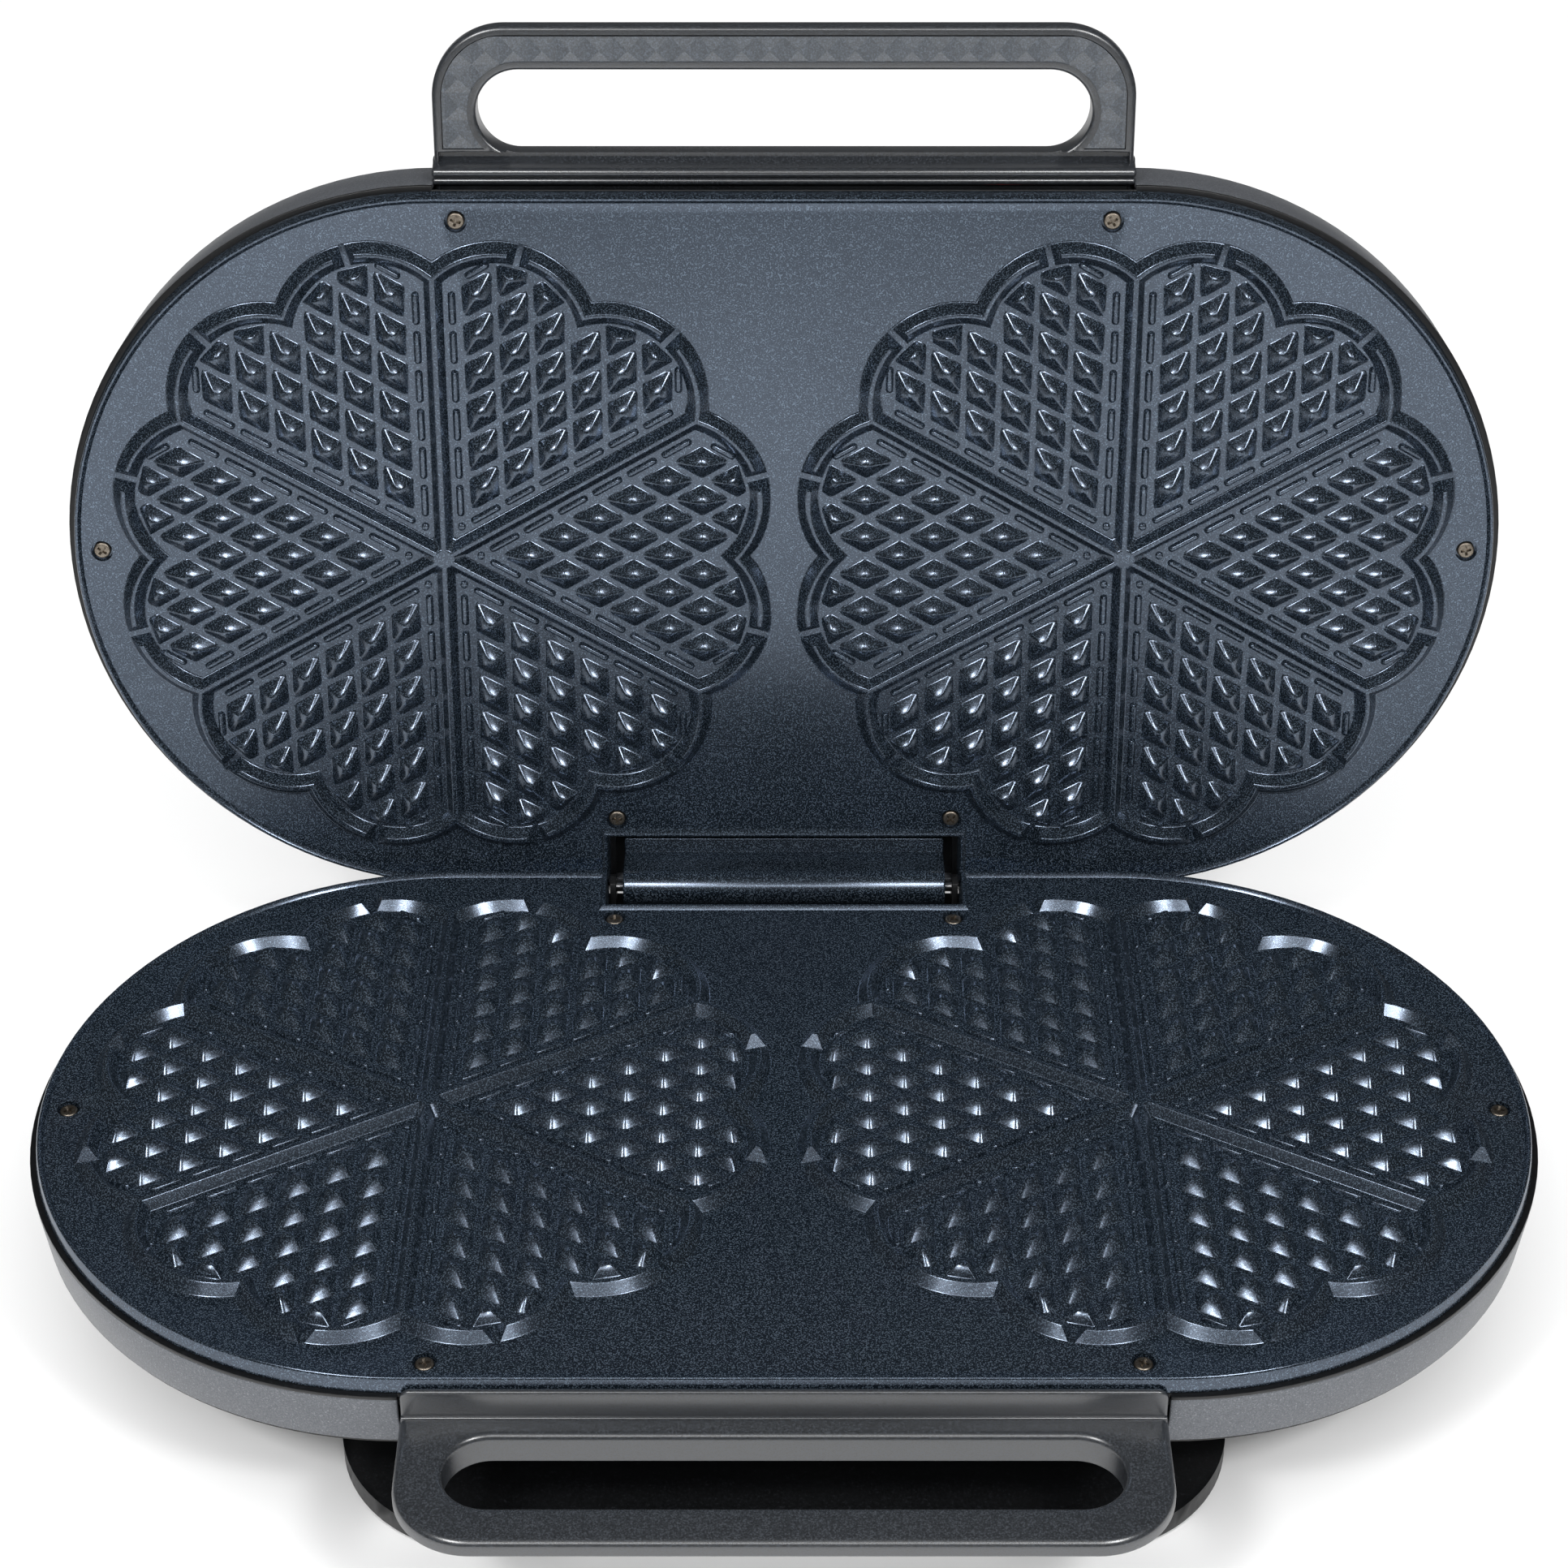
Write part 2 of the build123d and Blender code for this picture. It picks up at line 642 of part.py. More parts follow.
# Control: thermostat under the crown, dial above it on a short shaft
with BuildPart() as thermostat:
    boss = crownInside + seatGap
    pegs([(0, dialY)], 11, boss, boss + 9, sides=10)
    with Locations((0, dialY, landHeight + boss + 3)):
        Cylinder(shaftRadius + shaftPlay, 6, mode=Mode.SUBTRACT)

with BuildPart() as dial:
    dialTop = crownZ - 2 * seatGap
    pegs([(0, dialY)], dialRadius, dialTop - 4, dialTop, sides=20)
    chamfer(dial.edges().group_by(Axis.Z)[0], 1.2)
    low = (-3, dialY - dialRadius + 2.5, dialTop - dialHeight)
    block(low, (3, dialY + dialRadius - 2.5, dialTop - 4))
    with Locations((0, dialY, landHeight + (dialTop + boss + 5) / 2)):
        Cylinder(shaftRadius, boss + 5 - dialTop)

with BuildPart() as powerLamp:
    pegs(lampPoints[:1], lampRadius, crownZ - 1, crownZ + 7, sides=10)
with BuildPart() as readyLamp:
    pegs(lampPoints[1:], lampRadius, crownZ - 1, crownZ + 7, sides=10)

with BuildPart() as fuse:
    with BuildSketch(Plane.YZ.offset(-6)) as round:
        with Locations((20, landHeight + trayTop - sheet - seatGap - 2.5)):
            RegularPolygon(2.5, 8)
    extrude(amount=12)

# The lid's pieces are turned over onto the lower half, then opened about the pins
hinge = Axis((0, hingeY, landHeight - hingeDrop), (1, 0, 0))
middle = Plane.XY.offset(landHeight + closedGap / 2)

standing = {
    "base_housing": baseHousing.part,
    "base_frame": baseFrame.part,
    "lower_plate": plate.part,
    "lower_heating_element": heater.part,
    "lower_reflector": reflector.part,
    "lower_plate_screws": plateScrews.part,
    "bottom_cover": bottomCover.part,
    "stand": stand.part,
    "stand_screws": standScrews.part,
    "rubber_feet": feet.part,
    "lower_handle": lowerHandle.part,
    "lower_handle_screws": handleScrews.part,
    "hinge_brackets": brackets.part,
    "terminal_block": terminalBlock.part,
    "cord_grommet": cordGrommet.part,
}
lifting = {
    "lid_housing": lidHousing.part,
    "lid_frame": lidFrame.part,
    "upper_plate": plate.part,
    "upper_heating_element": heater.part,
    "upper_reflector": reflector.part,
    "upper_plate_screws": plateScrews.part,
    "hinge_knuckle": knuckle.part,
    "hinge_pins": pins.part,
    "hinge_screws": hingeScrews.part,
    "lid_handle": lidHandle.part,
    "handle_grip_panel": inlay.part,
    "lid_handle_screws": handleScrews.part,
    "thermostat": thermostat.part,
    "thermal_fuse": fuse.part,
    "power_lamp": powerLamp.part,
    "ready_lamp": readyLamp.part,
    "temperature_dial": dial.part,
}

for name, piece in standing.items():
    piece = piece.moved(Location((0, bodyShift, 0)))
    piece.label = name
    export_step(piece, f"parts/{name}.step")

for name, piece in lifting.items():
    piece = mirror(piece, about=middle).rotate(hinge, -lidAngle)
    piece = piece.moved(Location((0, bodyShift, 0)))
    piece.label = name
    export_step(piece, f"parts/{name}.step")
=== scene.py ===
import bpy
import bmesh
from math import asin, atan2, cos, degrees, pi, radians, sin, sqrt, tan
from mathutils import Matrix, Vector


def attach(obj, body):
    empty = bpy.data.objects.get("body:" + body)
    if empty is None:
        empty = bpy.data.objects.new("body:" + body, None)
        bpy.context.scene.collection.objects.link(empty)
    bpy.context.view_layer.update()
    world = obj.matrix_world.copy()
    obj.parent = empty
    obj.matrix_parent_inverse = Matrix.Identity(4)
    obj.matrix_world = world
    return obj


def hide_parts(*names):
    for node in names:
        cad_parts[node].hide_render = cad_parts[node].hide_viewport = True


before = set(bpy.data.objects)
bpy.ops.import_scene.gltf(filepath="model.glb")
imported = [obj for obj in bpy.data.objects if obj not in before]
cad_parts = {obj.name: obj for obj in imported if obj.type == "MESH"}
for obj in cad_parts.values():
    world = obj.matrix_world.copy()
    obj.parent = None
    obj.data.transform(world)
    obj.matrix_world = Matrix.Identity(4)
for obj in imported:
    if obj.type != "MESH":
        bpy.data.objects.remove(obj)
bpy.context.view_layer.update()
print("frame loaded,", len(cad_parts), "nodes")

# Pieces are modelled in millimetres as parts of the lower half, with the plate's flat face
# at height 0. Those of the lid are then folded over onto it and opened about the hinge.
cooker = {
    "shift": -14.6,          # from the plates' centre line to the middle of the open cooker
    "landHeight": 64.0,      # plate's flat face above the table
    "foldHeight": 135.3,     # twice the height of the closed cooker's parting line
    "hingeY": 112.1,
    "hingeZ": 62.0,
    "lidAngle": 98.7,
    "halfWidth": 222.0,      # plate's edge
    "halfDepth": 116.5,
    "notchHalf": 56.6,       # room for the hinge at the back
    "notchFront": 99.0,
    "flowerX": 106.0,
}
endX = cooker["halfWidth"] - cooker["halfDepth"]
toMetres = Matrix.Scale(0.001, 4)
toMillimetres = Matrix.Scale(1000, 4)
lift = Matrix.Translation((0, 0, cooker["landHeight"]))
hingePoint = Matrix.Translation((0, cooker["hingeY"], cooker["hingeZ"]))
swing = hingePoint @ Matrix.Rotation(radians(-cooker["lidAngle"]), 4, "X") @ hingePoint.inverted()
foldOver = Matrix.Translation((0, 0, cooker["foldHeight"])) @ Matrix.Scale(-1, 4, (0, 0, 1))
slide = Matrix.Translation((0, cooker["shift"], 0))
lowerPlace = toMetres @ slide @ lift
lidPlace = toMetres @ slide @ swing @ foldOver @ lift


# Working helpers

def pick(*objects):
    bpy.ops.object.select_all(action="DESELECT")
    for item in objects:
        item.select_set(True)
    bpy.context.view_layer.objects.active = objects[0]
    return objects[0]


def edit(piece, mode="VERT"):
    pick(piece)
    bpy.ops.object.mode_set(mode="EDIT")
    bpy.ops.mesh.select_mode(type=mode)
    return bmesh.from_edit_mesh(piece.data)


def leave():
    bpy.ops.object.mode_set(mode="OBJECT")
    return bpy.context.object


def selectWhere(piece, test, kind="faces"):
    net = edit(piece, {"faces": "FACE", "edges": "EDGE", "verts": "VERT"}[kind])
    for part in getattr(net, kind):
        part.select_set(False)
    for part in getattr(net, kind):
        if test(part):
            part.select_set(True)
    net.select_flush_mode()
    bmesh.update_edit_mesh(piece.data)


def stretch(piece, test, factors, centre=(0, 0, 0)):
    selectWhere(piece, test, "verts")
    bpy.ops.transform.resize(value=factors, center_override=centre)
    return leave()


def bevelWhere(piece, test, width, segments=3, kind="edges"):
    selectWhere(piece, test, kind)
    bpy.ops.mesh.bevel(offset=width, segments=segments, affect="EDGES")
    return leave()


def finishWith(piece, kind, **settings):
    pick(piece)
    step = piece.modifiers.new(kind.title(), kind)
    for key, value in settings.items():
        setattr(step, key, value)
    bpy.ops.object.modifier_apply(modifier=step.name)
    return piece


def softEdges(piece, width, segments=2, angle=30):
    return finishWith(piece, "BEVEL", width=width, segments=segments, limit_method="ANGLE",
                      angle_limit=radians(angle), use_clamp_overlap=True)


def smooth(piece, angle=35):
    pick(piece)
    bpy.ops.object.shade_smooth_by_angle(angle=radians(angle))
    return piece


def cut(piece, cutter, operation="DIFFERENCE"):
    finishWith(piece, "BOOLEAN", object=cutter, operation=operation, solver="EXACT")
    bpy.data.objects.remove(cutter)
    return piece


def join(name, parts):
    piece = pick(*parts)
    if len(parts) > 1:
        bpy.ops.object.join()
    piece.name = name
    piece.data.name = name
    return piece


def addPiece(name, mesh):
    piece = bpy.data.objects.new(name, mesh)
    bpy.context.scene.collection.objects.link(piece)
    return piece


# A mirrored mesh has its faces turned back outward
def moved(piece, move):
    piece.data.transform(move)
    if move.determinant() < 0:
        piece.data.flip_normals()
    return piece


def twin(piece, move=Matrix.Identity(4), name=None):
    return moved(addPiece(name or piece.name, piece.data.copy()), move)


def meshOf(name, points, faces):
    mesh = bpy.data.meshes.new(name)
    mesh.from_pydata(points, [], faces)
    return addPiece(name, mesh)


def pieceFrom(net, name):
    bmesh.ops.recalc_face_normals(net, faces=net.faces)
    mesh = bpy.data.meshes.new(name)
    net.to_mesh(mesh)
    net.free()
    return addPiece(name, mesh)


def outward(piece):
    edit(piece)
    bpy.ops.mesh.select_all(action="SELECT")
    bpy.ops.mesh.normals_make_consistent(inside=False)
    return leave()


def block(low, high):
    middle = [(a + b) / 2 for a, b in zip(low, high)]
    bpy.ops.object.select_all(action="DESELECT")
    bpy.ops.mesh.primitive_cube_add(size=1, location=middle)
    piece = bpy.context.object
    piece.scale = [b - a for a, b in zip(low, high)]
    bpy.ops.object.transform_apply(location=True, rotation=True, scale=True)
    return piece


def drum(radius, depth, location, sides):
    bpy.ops.object.select_all(action="DESELECT")
    bpy.ops.mesh.primitive_cylinder_add(vertices=sides, radius=radius, depth=depth,
                                        location=location)
    bpy.ops.object.transform_apply(location=True, rotation=True, scale=True)
    return bpy.context.object


# A ring with a stadium plan: a circle is drawn out through the profile's points, each an
# inset from the plate's edge and a height, then its two halves are moved apart
def ovalRing(name, profile, sides=120):
    bpy.ops.object.select_all(action="DESELECT")
    start, height = profile[0]
    radius = cooker["halfDepth"] - start
    bpy.ops.mesh.primitive_circle_add(vertices=sides, radius=radius, location=(0, 0, height),
                                      rotation=(0, 0, pi / sides))
    bpy.ops.object.transform_apply(location=True, rotation=True, scale=True)
    piece = bpy.context.object
    edit(piece)
    bpy.ops.mesh.select_all(action="SELECT")
    for inset, level in profile[1:] + profile[:1]:
        bpy.ops.mesh.extrude_region_move(TRANSFORM_OT_translate={"value": (0, 0, level - height)})
        grown = cooker["halfDepth"] - inset
        factor = grown / radius
        bpy.ops.transform.resize(value=(factor, factor, 1), center_override=(0, 0, 0))
        radius, height = grown, level
    bpy.ops.mesh.select_all(action="SELECT")
    bpy.ops.mesh.remove_doubles(threshold=0.001)
    for side in (-1, 1):
        leave()
        selectWhere(piece, lambda v: v.co.x * side > 0, "verts")
        bpy.ops.transform.translate(value=(side * endX, 0, 0))
    leave()
    piece.name = name
    return outward(piece)


# Points on an arc, its angles in degrees
def arcAt(middle, radius, first, last, steps=8):
    turns = [radians(first + (last - first) * k / steps) for k in range(steps + 1)]
    return [(middle[0] + radius * cos(turn), middle[1] + radius * sin(turn)) for turn in turns]


# Two outlines of as many points, joined by a wall
def prism(name, first, second):
    count = len(first)
    faces = [tuple(range(count)), tuple(range(count, 2 * count))]
    faces += [(k, (k + 1) % count, (k + 1) % count + count, k + count) for k in range(count)]
    return outward(meshOf(name, first + second, faces))


# A CAD node's copy in millimetres, its loose triangles merged into faces
def fromNode(node, name):
    piece = addPiece(name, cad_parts[node].data.copy())
    piece.data.materials.clear()
    piece.data.transform(toMillimetres)
    edit(piece)
    bpy.ops.mesh.select_all(action="SELECT")
    bpy.ops.mesh.remove_doubles(threshold=0.002)
    bpy.ops.mesh.dissolve_limited(angle_limit=radians(0.5))
    return leave()


def seat(piece, place, body, node, material):
    moved(piece, place)
    piece.data.materials.clear()
    piece.data.materials.append(material)
    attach(piece, body)
    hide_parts(node)


# Materials

def shade(hexCode):
    def linear(value):
        value /= 255
        return value / 12.92 if value <= 0.04045 else ((value + 0.055) / 1.055) ** 2.4
    return tuple(linear(int(hexCode[i:i + 2], 16)) for i in (1, 3, 5)) + (1.0,)


def addNode(tree, kind, settings=None, links=None):
    node = tree.nodes.new(kind)
    for key, value in (settings or {}).items():
        if key in node.inputs:
            node.inputs[key].default_value = value
        else:
            setattr(node, key, value)
    for key, source in (links or {}).items():
        tree.links.new(source, node.inputs[key])
    return node


def newMaterial(name, **settings):
    material = bpy.data.materials.new(name)
    material.use_nodes = True
    shader = material.node_tree.nodes["Principled BSDF"]
    for key, value in settings.items():
        shader.inputs[key].default_value = value
    return material, material.node_tree, shader


def stops(ramp, *pairs):
    marks = ramp.color_ramp.elements
    for index, (place, colour) in enumerate(pairs):
        stop = marks[index] if index < 2 else marks.new(place)
        stop.position = place
        stop.color = colour
    return ramp


# Grain: noise of a real size, as bump of a real height, both in millimetres
def grain(tree, shader, size, height):
    spot = addNode(tree, "ShaderNodeTexCoord")
    noise = addNode(tree, "ShaderNodeTexNoise", {"Scale": 1000 / size, "Detail": 2.0},
                    {"Vector": spot.outputs["Object"]})
    bump = addNode(tree, "ShaderNodeBump", {"Strength": 1.0, "Distance": height / 1000},
                   {"Height": noise.outputs["Fac"]})
    tree.links.new(bump.outputs["Normal"], shader.inputs["Normal"])
    return spot


# What all the surfaces share: places on the noise's scale of 0 to 1, and a size in millimetres
speckle = {
    "dark": 0.36,
    "light": 0.62,
    "lightWithMica": 0.55,
    "fleckRoughness": 0.6,
    "cloudSize": 60,         # slow change of the roughness, as from handling
    "cloudFrom": (0.3, 0.7),
    "cloudTo": (-0.03, 0.04),
}


# A surface of three shades in spots of a real size; with mica, the palest spots are metallic
def speckled(name, dark, light, fleck, share, size, metallic, roughness, grainSize, grainHeight,
             gloss=0.5, mica=None, **more):
    material, tree, shader = newMaterial(name, Metallic=metallic, Roughness=roughness, **more)
    spot = grain(tree, shader, grainSize, grainHeight)
    shader.inputs["Specular IOR Level"].default_value = gloss
    flecks = addNode(tree, "ShaderNodeTexNoise", {
        "Scale": 1000 / size, "Detail": 2.0, "Roughness": speckle["fleckRoughness"]
    }, {"Vector": spot.outputs["Object"]})
    ramp = addNode(tree, "ShaderNodeValToRGB", links={"Fac": flecks.outputs["Fac"]})
    pale = speckle["lightWithMica"] if mica else speckle["light"]
    stops(ramp, (speckle["dark"], shade(dark)), (pale, shade(light)), (pale + share, shade(fleck)))
    cloud = addNode(tree, "ShaderNodeTexNoise", {
        "Scale": 1000 / speckle["cloudSize"], "Detail": 3.0
    }, {"Vector": spot.outputs["Object"]})
    rough = addNode(tree, "ShaderNodeMapRange", {
        "From Min": speckle["cloudFrom"][0], "From Max": speckle["cloudFrom"][1],
        "To Min": roughness + speckle["cloudTo"][0], "To Max": roughness + speckle["cloudTo"][1]
    }, {"Value": cloud.outputs["Fac"]})
    tree.links.new(ramp.outputs["Color"], shader.inputs["Base Color"])
    tree.links.new(rough.outputs["Result"], shader.inputs["Roughness"])
    if mica:
        flake = addNode(tree, "ShaderNodeMapRange", {
            "From Min": pale, "From Max": pale + share, "To Min": mica[0], "To Max": mica[1]
        }, {"Value": flecks.outputs["Fac"]})
        tree.links.new(flake.outputs["Result"], shader.inputs["Metallic"])
    return material


# Cast aluminium under a dark non-stick coating, sprayed and baked: satin, with pale mica.
# Real mica is a few hundredths of a millimetre: it is drawn at 0.45 mm, coarse enough to show.
coating = speckled("nonStickCoating", "#05080b", "#10171e", "#6d7b8a", 0.12, 0.45, 0.1, 0.21,
                   0.8, 0.012, gloss=1.0, mica=(0.0, 0.8),
                   **{"IOR": 1.6, "Specular Tint": shade("#d5e6ff")})
# Steel band in sprayed metallic grey lacquer: satin, with a glitter drawn coarser than real
bandLacquer = speckled("metallicGreyLacquer", "#55585d", "#686b70", "#8b8e93", 0.1, 0.5, 0.45,
                       0.36, 0.7, 0.008)
# Glass-filled nylon, moulded black: nearly smooth
blackNylon = speckled("blackNylon", "#08090a", "#0d0e10", "#1b1c1f", 0.1, 0.8, 0.0, 0.36,
                      0.8, 0.01)
# Phenolic grips, moulded with a spark-eroded grain, drawn coarser than real: a soft sheen
gripPhenolic = speckled("charcoalPhenolic", "#191b1e", "#26292d", "#43474d", 0.1, 0.5, 0.0, 0.3,
                        0.6, 0.012, gloss=1.0, mica=(0.0, 0.35), IOR=1.6)
# Soft-touch inlay, slate grey: a shade lighter and duller than the grip round it
inlayRubber = speckled("slateSoftTouch", "#252a30", "#383f47", "#59616b", 0.12, 0.5, 0.0, 0.38,
                       0.6, 0.012, gloss=1.0, mica=(0.0, 0.25), IOR=1.6)
# Stand: moulded polypropylene, satin black
standPlastic = speckled("satinBlackPolypropylene", "#0c0d0e", "#131416", "#222427", 0.1, 0.8,
                        0.0, 0.4, 0.9, 0.02)
# Feet and grommet: dull black rubber, without a highlight
soleRubber = speckled("soleRubber", "#111111", "#181818", "#222222", 0.1, 1.0, 0.0, 0.8,
                      1.0, 0.03)
# Nickel-plated screws, a little brown from heat
nickel = speckled("heatTintedNickel", "#7d756b", "#958c80", "#b5ab9d", 0.1, 0.4, 1.0, 0.4,
                  0.5, 0.01)
# Hinge pins of ground steel: the bright ends beside the barrel
steel = speckled("bareSteel", "#8d8e90", "#a8a9ab", "#c0c1c3", 0.1, 0.5, 1.0, 0.28, 0.4, 0.004)
# Hinge brackets of blacked steel: a dim sheen in the trough
blackedSteel = speckled("blackedSteel", "#141516", "#1b1c1e", "#2a2b2d", 0.1, 0.5, 0.6, 0.45,
                        0.4, 0.01)
# Heaters: steel sheath, dulled and browned by heat
sheath = speckled("heaterSheath", "#49443f", "#5a544e", "#6c655d", 0.1, 1.0, 1.0, 0.5, 0.8, 0.01)
# Reflector trays: bright rolled aluminium
trayAluminium = speckled("trayAluminium", "#b9babc", "#c9cacc", "#dadbdd", 0.1, 1.2, 1.0, 0.3,
                         2.0, 0.01)
# Terminal block, thermostat and fuse: cream steatite, unglazed and matt
ceramic = speckled("steatiteCeramic", "#bfb9ab", "#cfc9bb", "#dcd7cb", 0.1, 0.8, 0.0, 0.6,
                   0.8, 0.02)


# Lamp lenses: smooth coloured plastic; the red one is lit and glows beside the grip's root
def lens(name, colour, glow):
    material, tree, shader = newMaterial(name, **{
        "Roughness": 0.15, "Base Color": shade(colour), "Emission Color": shade(colour),
        "Emission Strength": glow})
    grain(tree, shader, 1.5, 0.02)
    return material


redLens = lens("redLampLens", "#d01208", 2.0)
greenLens = lens("greenLampLens", "#0c5a1c", 0.0)
print("materials made")


# Plates. The waffle relief is drawn by formula, because its walls follow arcs that meet in
# cusps at several heights.
lobeCount = 12
lobeTurn = 30                # degrees from lobe to lobe; a heart spans two of them
halfTurn = 15
heartCount = 6
heartTurn = 60
relief = {
    "lobeRing": 73.4,        # circle that the lobes' centres stand on
    "lobeRadius": 31.0,      # foot of the outer wall
    "wallHeight": 3.5,
    "outerSlope": 2.6,       # how far the outer wall leans in from foot to top
    "pocketTop": 27.1,       # lobe radius at the top of a heart's wall
    "pocketSlope": 2.6,
    "dividerHalf": 0.7,
    "dividerSlope": 2.1,
    "hubRadius": 3.2,
    "hubSlope": 3.4,
    "lobeSteps": 16,
    "sunk": 0.4,             # how far the relief reaches into the plate
    "footRound": 0.9,
    "topRound": 0.7,
    "gapWidth": 1.8,         # steam gap at each lobe's crest
    "gapSlope": 2.6,
    "gapReach": (94, 112),
    "gapFoot": 0.02,
    "gapTop": 4.2,
}


# Corner of a profile swept as an arc
def rounded(before, corner, after, radius, steps=4):
    back = (Vector(before) - Vector(corner)).normalized()
    ahead = (Vector(after) - Vector(corner)).normalized()
    turn = back.angle(ahead) / 2
    middle = Vector(corner) + (back + ahead).normalized() * radius / sin(turn)
    start = Vector(corner) + back * radius / tan(turn) - middle
    end = Vector(corner) + ahead * radius / tan(turn) - middle
    return [tuple(middle + start.slerp(end, k / steps) * radius) for k in range(steps + 1)]


# Profiles as insets and heights; the first and last points only give directions
wall, outer, pocket = relief["wallHeight"], relief["outerSlope"], relief["pocketSlope"]
relief["outerProfile"] = (rounded((-3, 0), (0, 0), (outer, wall), relief["footRound"])
                          + rounded((0, 0), (outer, wall), (5, wall), relief["topRound"]))
relief["pocketProfile"] = (rounded((-2, wall), (0, wall), (pocket, 0), relief["topRound"])
                           + rounded((0, wall), (pocket, 0), (5, 0), relief["footRound"]))


def lobeArc(radius, crest, first, last, steps):
    centre = Vector((cos(radians(crest)), sin(radians(crest)))) * relief["lobeRing"]
    return [Vector(point) for point in arcAt(centre, radius, first, last, steps)]


def flowerLoop(inset):
    radius = relief["lobeRadius"] - inset
    half = halfTurn + degrees(asin(relief["lobeRing"] * sin(radians(halfTurn)) / radius))
    points = []
    for lobe in range(lobeCount):
        crest = lobeTurn * lobe + halfTurn
        points += lobeArc(radius, crest, crest - half, crest + half, relief["lobeSteps"])[:-1]
    return points


def heartLoop(inward):
    radius = relief["pocketTop"] - inward
    side = relief["dividerHalf"] + inward * relief["dividerSlope"] / relief["pocketSlope"]
    tip = relief["hubRadius"] + inward * relief["hubSlope"] / relief["pocketSlope"]
    across = relief["lobeRing"] * sin(radians(halfTurn))
    along = relief["lobeRing"] * cos(radians(halfTurn))
    first = -degrees(asin(across / radius))
    reach = along + sqrt(radius ** 2 - (across - side) ** 2)
    corner = (reach * cos(radians(lobeTurn)) + side * sin(radians(lobeTurn)),
              reach * sin(radians(lobeTurn)) - side * cos(radians(lobeTurn)))
    last = degrees(atan2(corner[1] - across, corner[0] - along))
    upper = lobeArc(radius, halfTurn, first, last, relief["lobeSteps"])
    tipAngle = lobeTurn - degrees(asin(min(1, side / tip)))
    upper += [Vector((tip * cos(radians(tipAngle * k)), tip * sin(radians(tipAngle * k))))
              for k in (1, 0.5)]
    lower = [Vector((p.x, -p.y)) for p in reversed(upper)]
    return upper + [Vector((tip, 0))] + lower[:-1]


def turned(points, angle):
    return [Vector((p.x * cos(angle) - p.y * sin(angle), p.x * sin(angle) + p.y * cos(angle)))
            for p in points]


# Loops of points, one above the other, joined into one open skin
def addSkin(net, levels):
    rows = [[net.verts.new((p.x, p.y, height)) for p in loop] for loop, height in levels]
    for one, two in zip(rows, rows[1:]):
        count = len(one)
        for i in range(count):
            net.faces.new((one[i], one[(i + 1) % count], two[(i + 1) % count], two[i]))
    return rows


def loopEdges(net, row):
    return [net.edges.get((row[i], row[(i + 1) % len(row)])) for i in range(len(row))]


# A closed piece through the loops that a plan gives at each inset and height of a profile
def skinned(name, plan, profile):
    net = bmesh.new()
    rows = addSkin(net, [(plan(inset), height) for inset, height in profile])
    for row in (rows[0], rows[-1]):
        bmesh.ops.triangle_fill(net, use_beauty=True, edges=loopEdges(net, row))
    return pieceFrom(net, name)


def flowerWalls():
    net = bmesh.new()
    levels = [(flowerLoop(relief["outerProfile"][0][0]), -relief["sunk"])]
    levels += [(flowerLoop(inset), height) for inset, height in relief["outerProfile"]]
    rows = addSkin(net, levels)
    tops, feet = loopEdges(net, rows[-1]), loopEdges(net, rows[0])
    for heart in range(heartCount):
        angle = radians(heartTurn * heart)
        levels = [(turned(heartLoop(inward), angle), height)
                  for inward, height in relief["pocketProfile"]]
        levels.append((levels[-1][0], -relief["sunk"]))
        rows = addSkin(net, levels)
        tops += loopEdges(net, rows[0])
        feet += loopEdges(net, rows[-1])
    bmesh.ops.triangle_fill(net, use_beauty=True, edges=tops)
    bmesh.ops.triangle_fill(net, use_beauty=True, edges=feet)
    return pieceFrom(net, "flower")


flower = flowerWalls()

# Steam gaps: a tapered block cut out at each lobe's crest
gapParts = []
gapStart, gapEnd = relief["gapReach"]
gapSpread = 1 + 2 * relief["gapSlope"] * relief["gapTop"] / wall / relief["gapWidth"]
for lobe in range(lobeCount):
    gap = block((gapStart, -relief["gapWidth"] / 2, relief["gapFoot"]),
                (gapEnd, relief["gapWidth"] / 2, relief["gapTop"]))
    stretch(gap, lambda v: v.co.z > 1, (1, gapSpread, 1), ((gapStart + gapEnd) / 2, 0, 0))
    gapParts.append(moved(gap, Matrix.Rotation(radians(lobeTurn * lobe + halfTurn), 4, "Z")))
cut(flower, join("gaps", gapParts))
print("flower walls cut,", len(flower.data.polygons), "faces")

# Points: blunt and four-sided, on a lattice that follows the heart's two straight sides.
# Each is a stack of loops: share of the foot's size, height, share of roundness.
lattice = {
    "pitch": 12.5,
    "web": 1.4,
    "first": 26.5,
    "rowLimit": {1: 6, 2: 6, 3: 5, 4: 3, 5: 3, 6: 2},
    "levels": [(1.0, -0.3, 0.0), (1.0, 0.0, 0.0), (0.955, 0.07, 0.0), (0.9, 0.36, 0.03),
               (0.6, 1.84, 0.15), (0.36, 2.94, 0.45), (0.2, 3.4, 0.8)],
    "tip": 3.55,
    "blunt": 1.12,           # how far a round level reaches past the foot's nearest corner
    "sunk": 0.3,             # how far bars and studs reach into the plate
    "corner": 1.6,           # plan radius of a point's edges
    "limit": 23.4,           # how far from the lobe's centre the points reach
    "barOffset": 5.5,        # bars beside the dividers
    "barStart": 18.5,
    "barCount": 6,
    "barSize": (10.9, 2.7),
    "barHeight": 1.2,
    "barEnd": 0.42,          # rounding of its ends, as a share of its width
    "barLean": 0.8,
    "barEdge": 0.25,
    "barRim": 0.06,
    "lobeBar": (8.9, 2.7),
    "lobeBarSpot": (87.2, 34.8),
    "studSpot": 11.3,
    "studRadius": 1.2,
    "studHeight": 0.9,
    "studRound": 0.5,
}
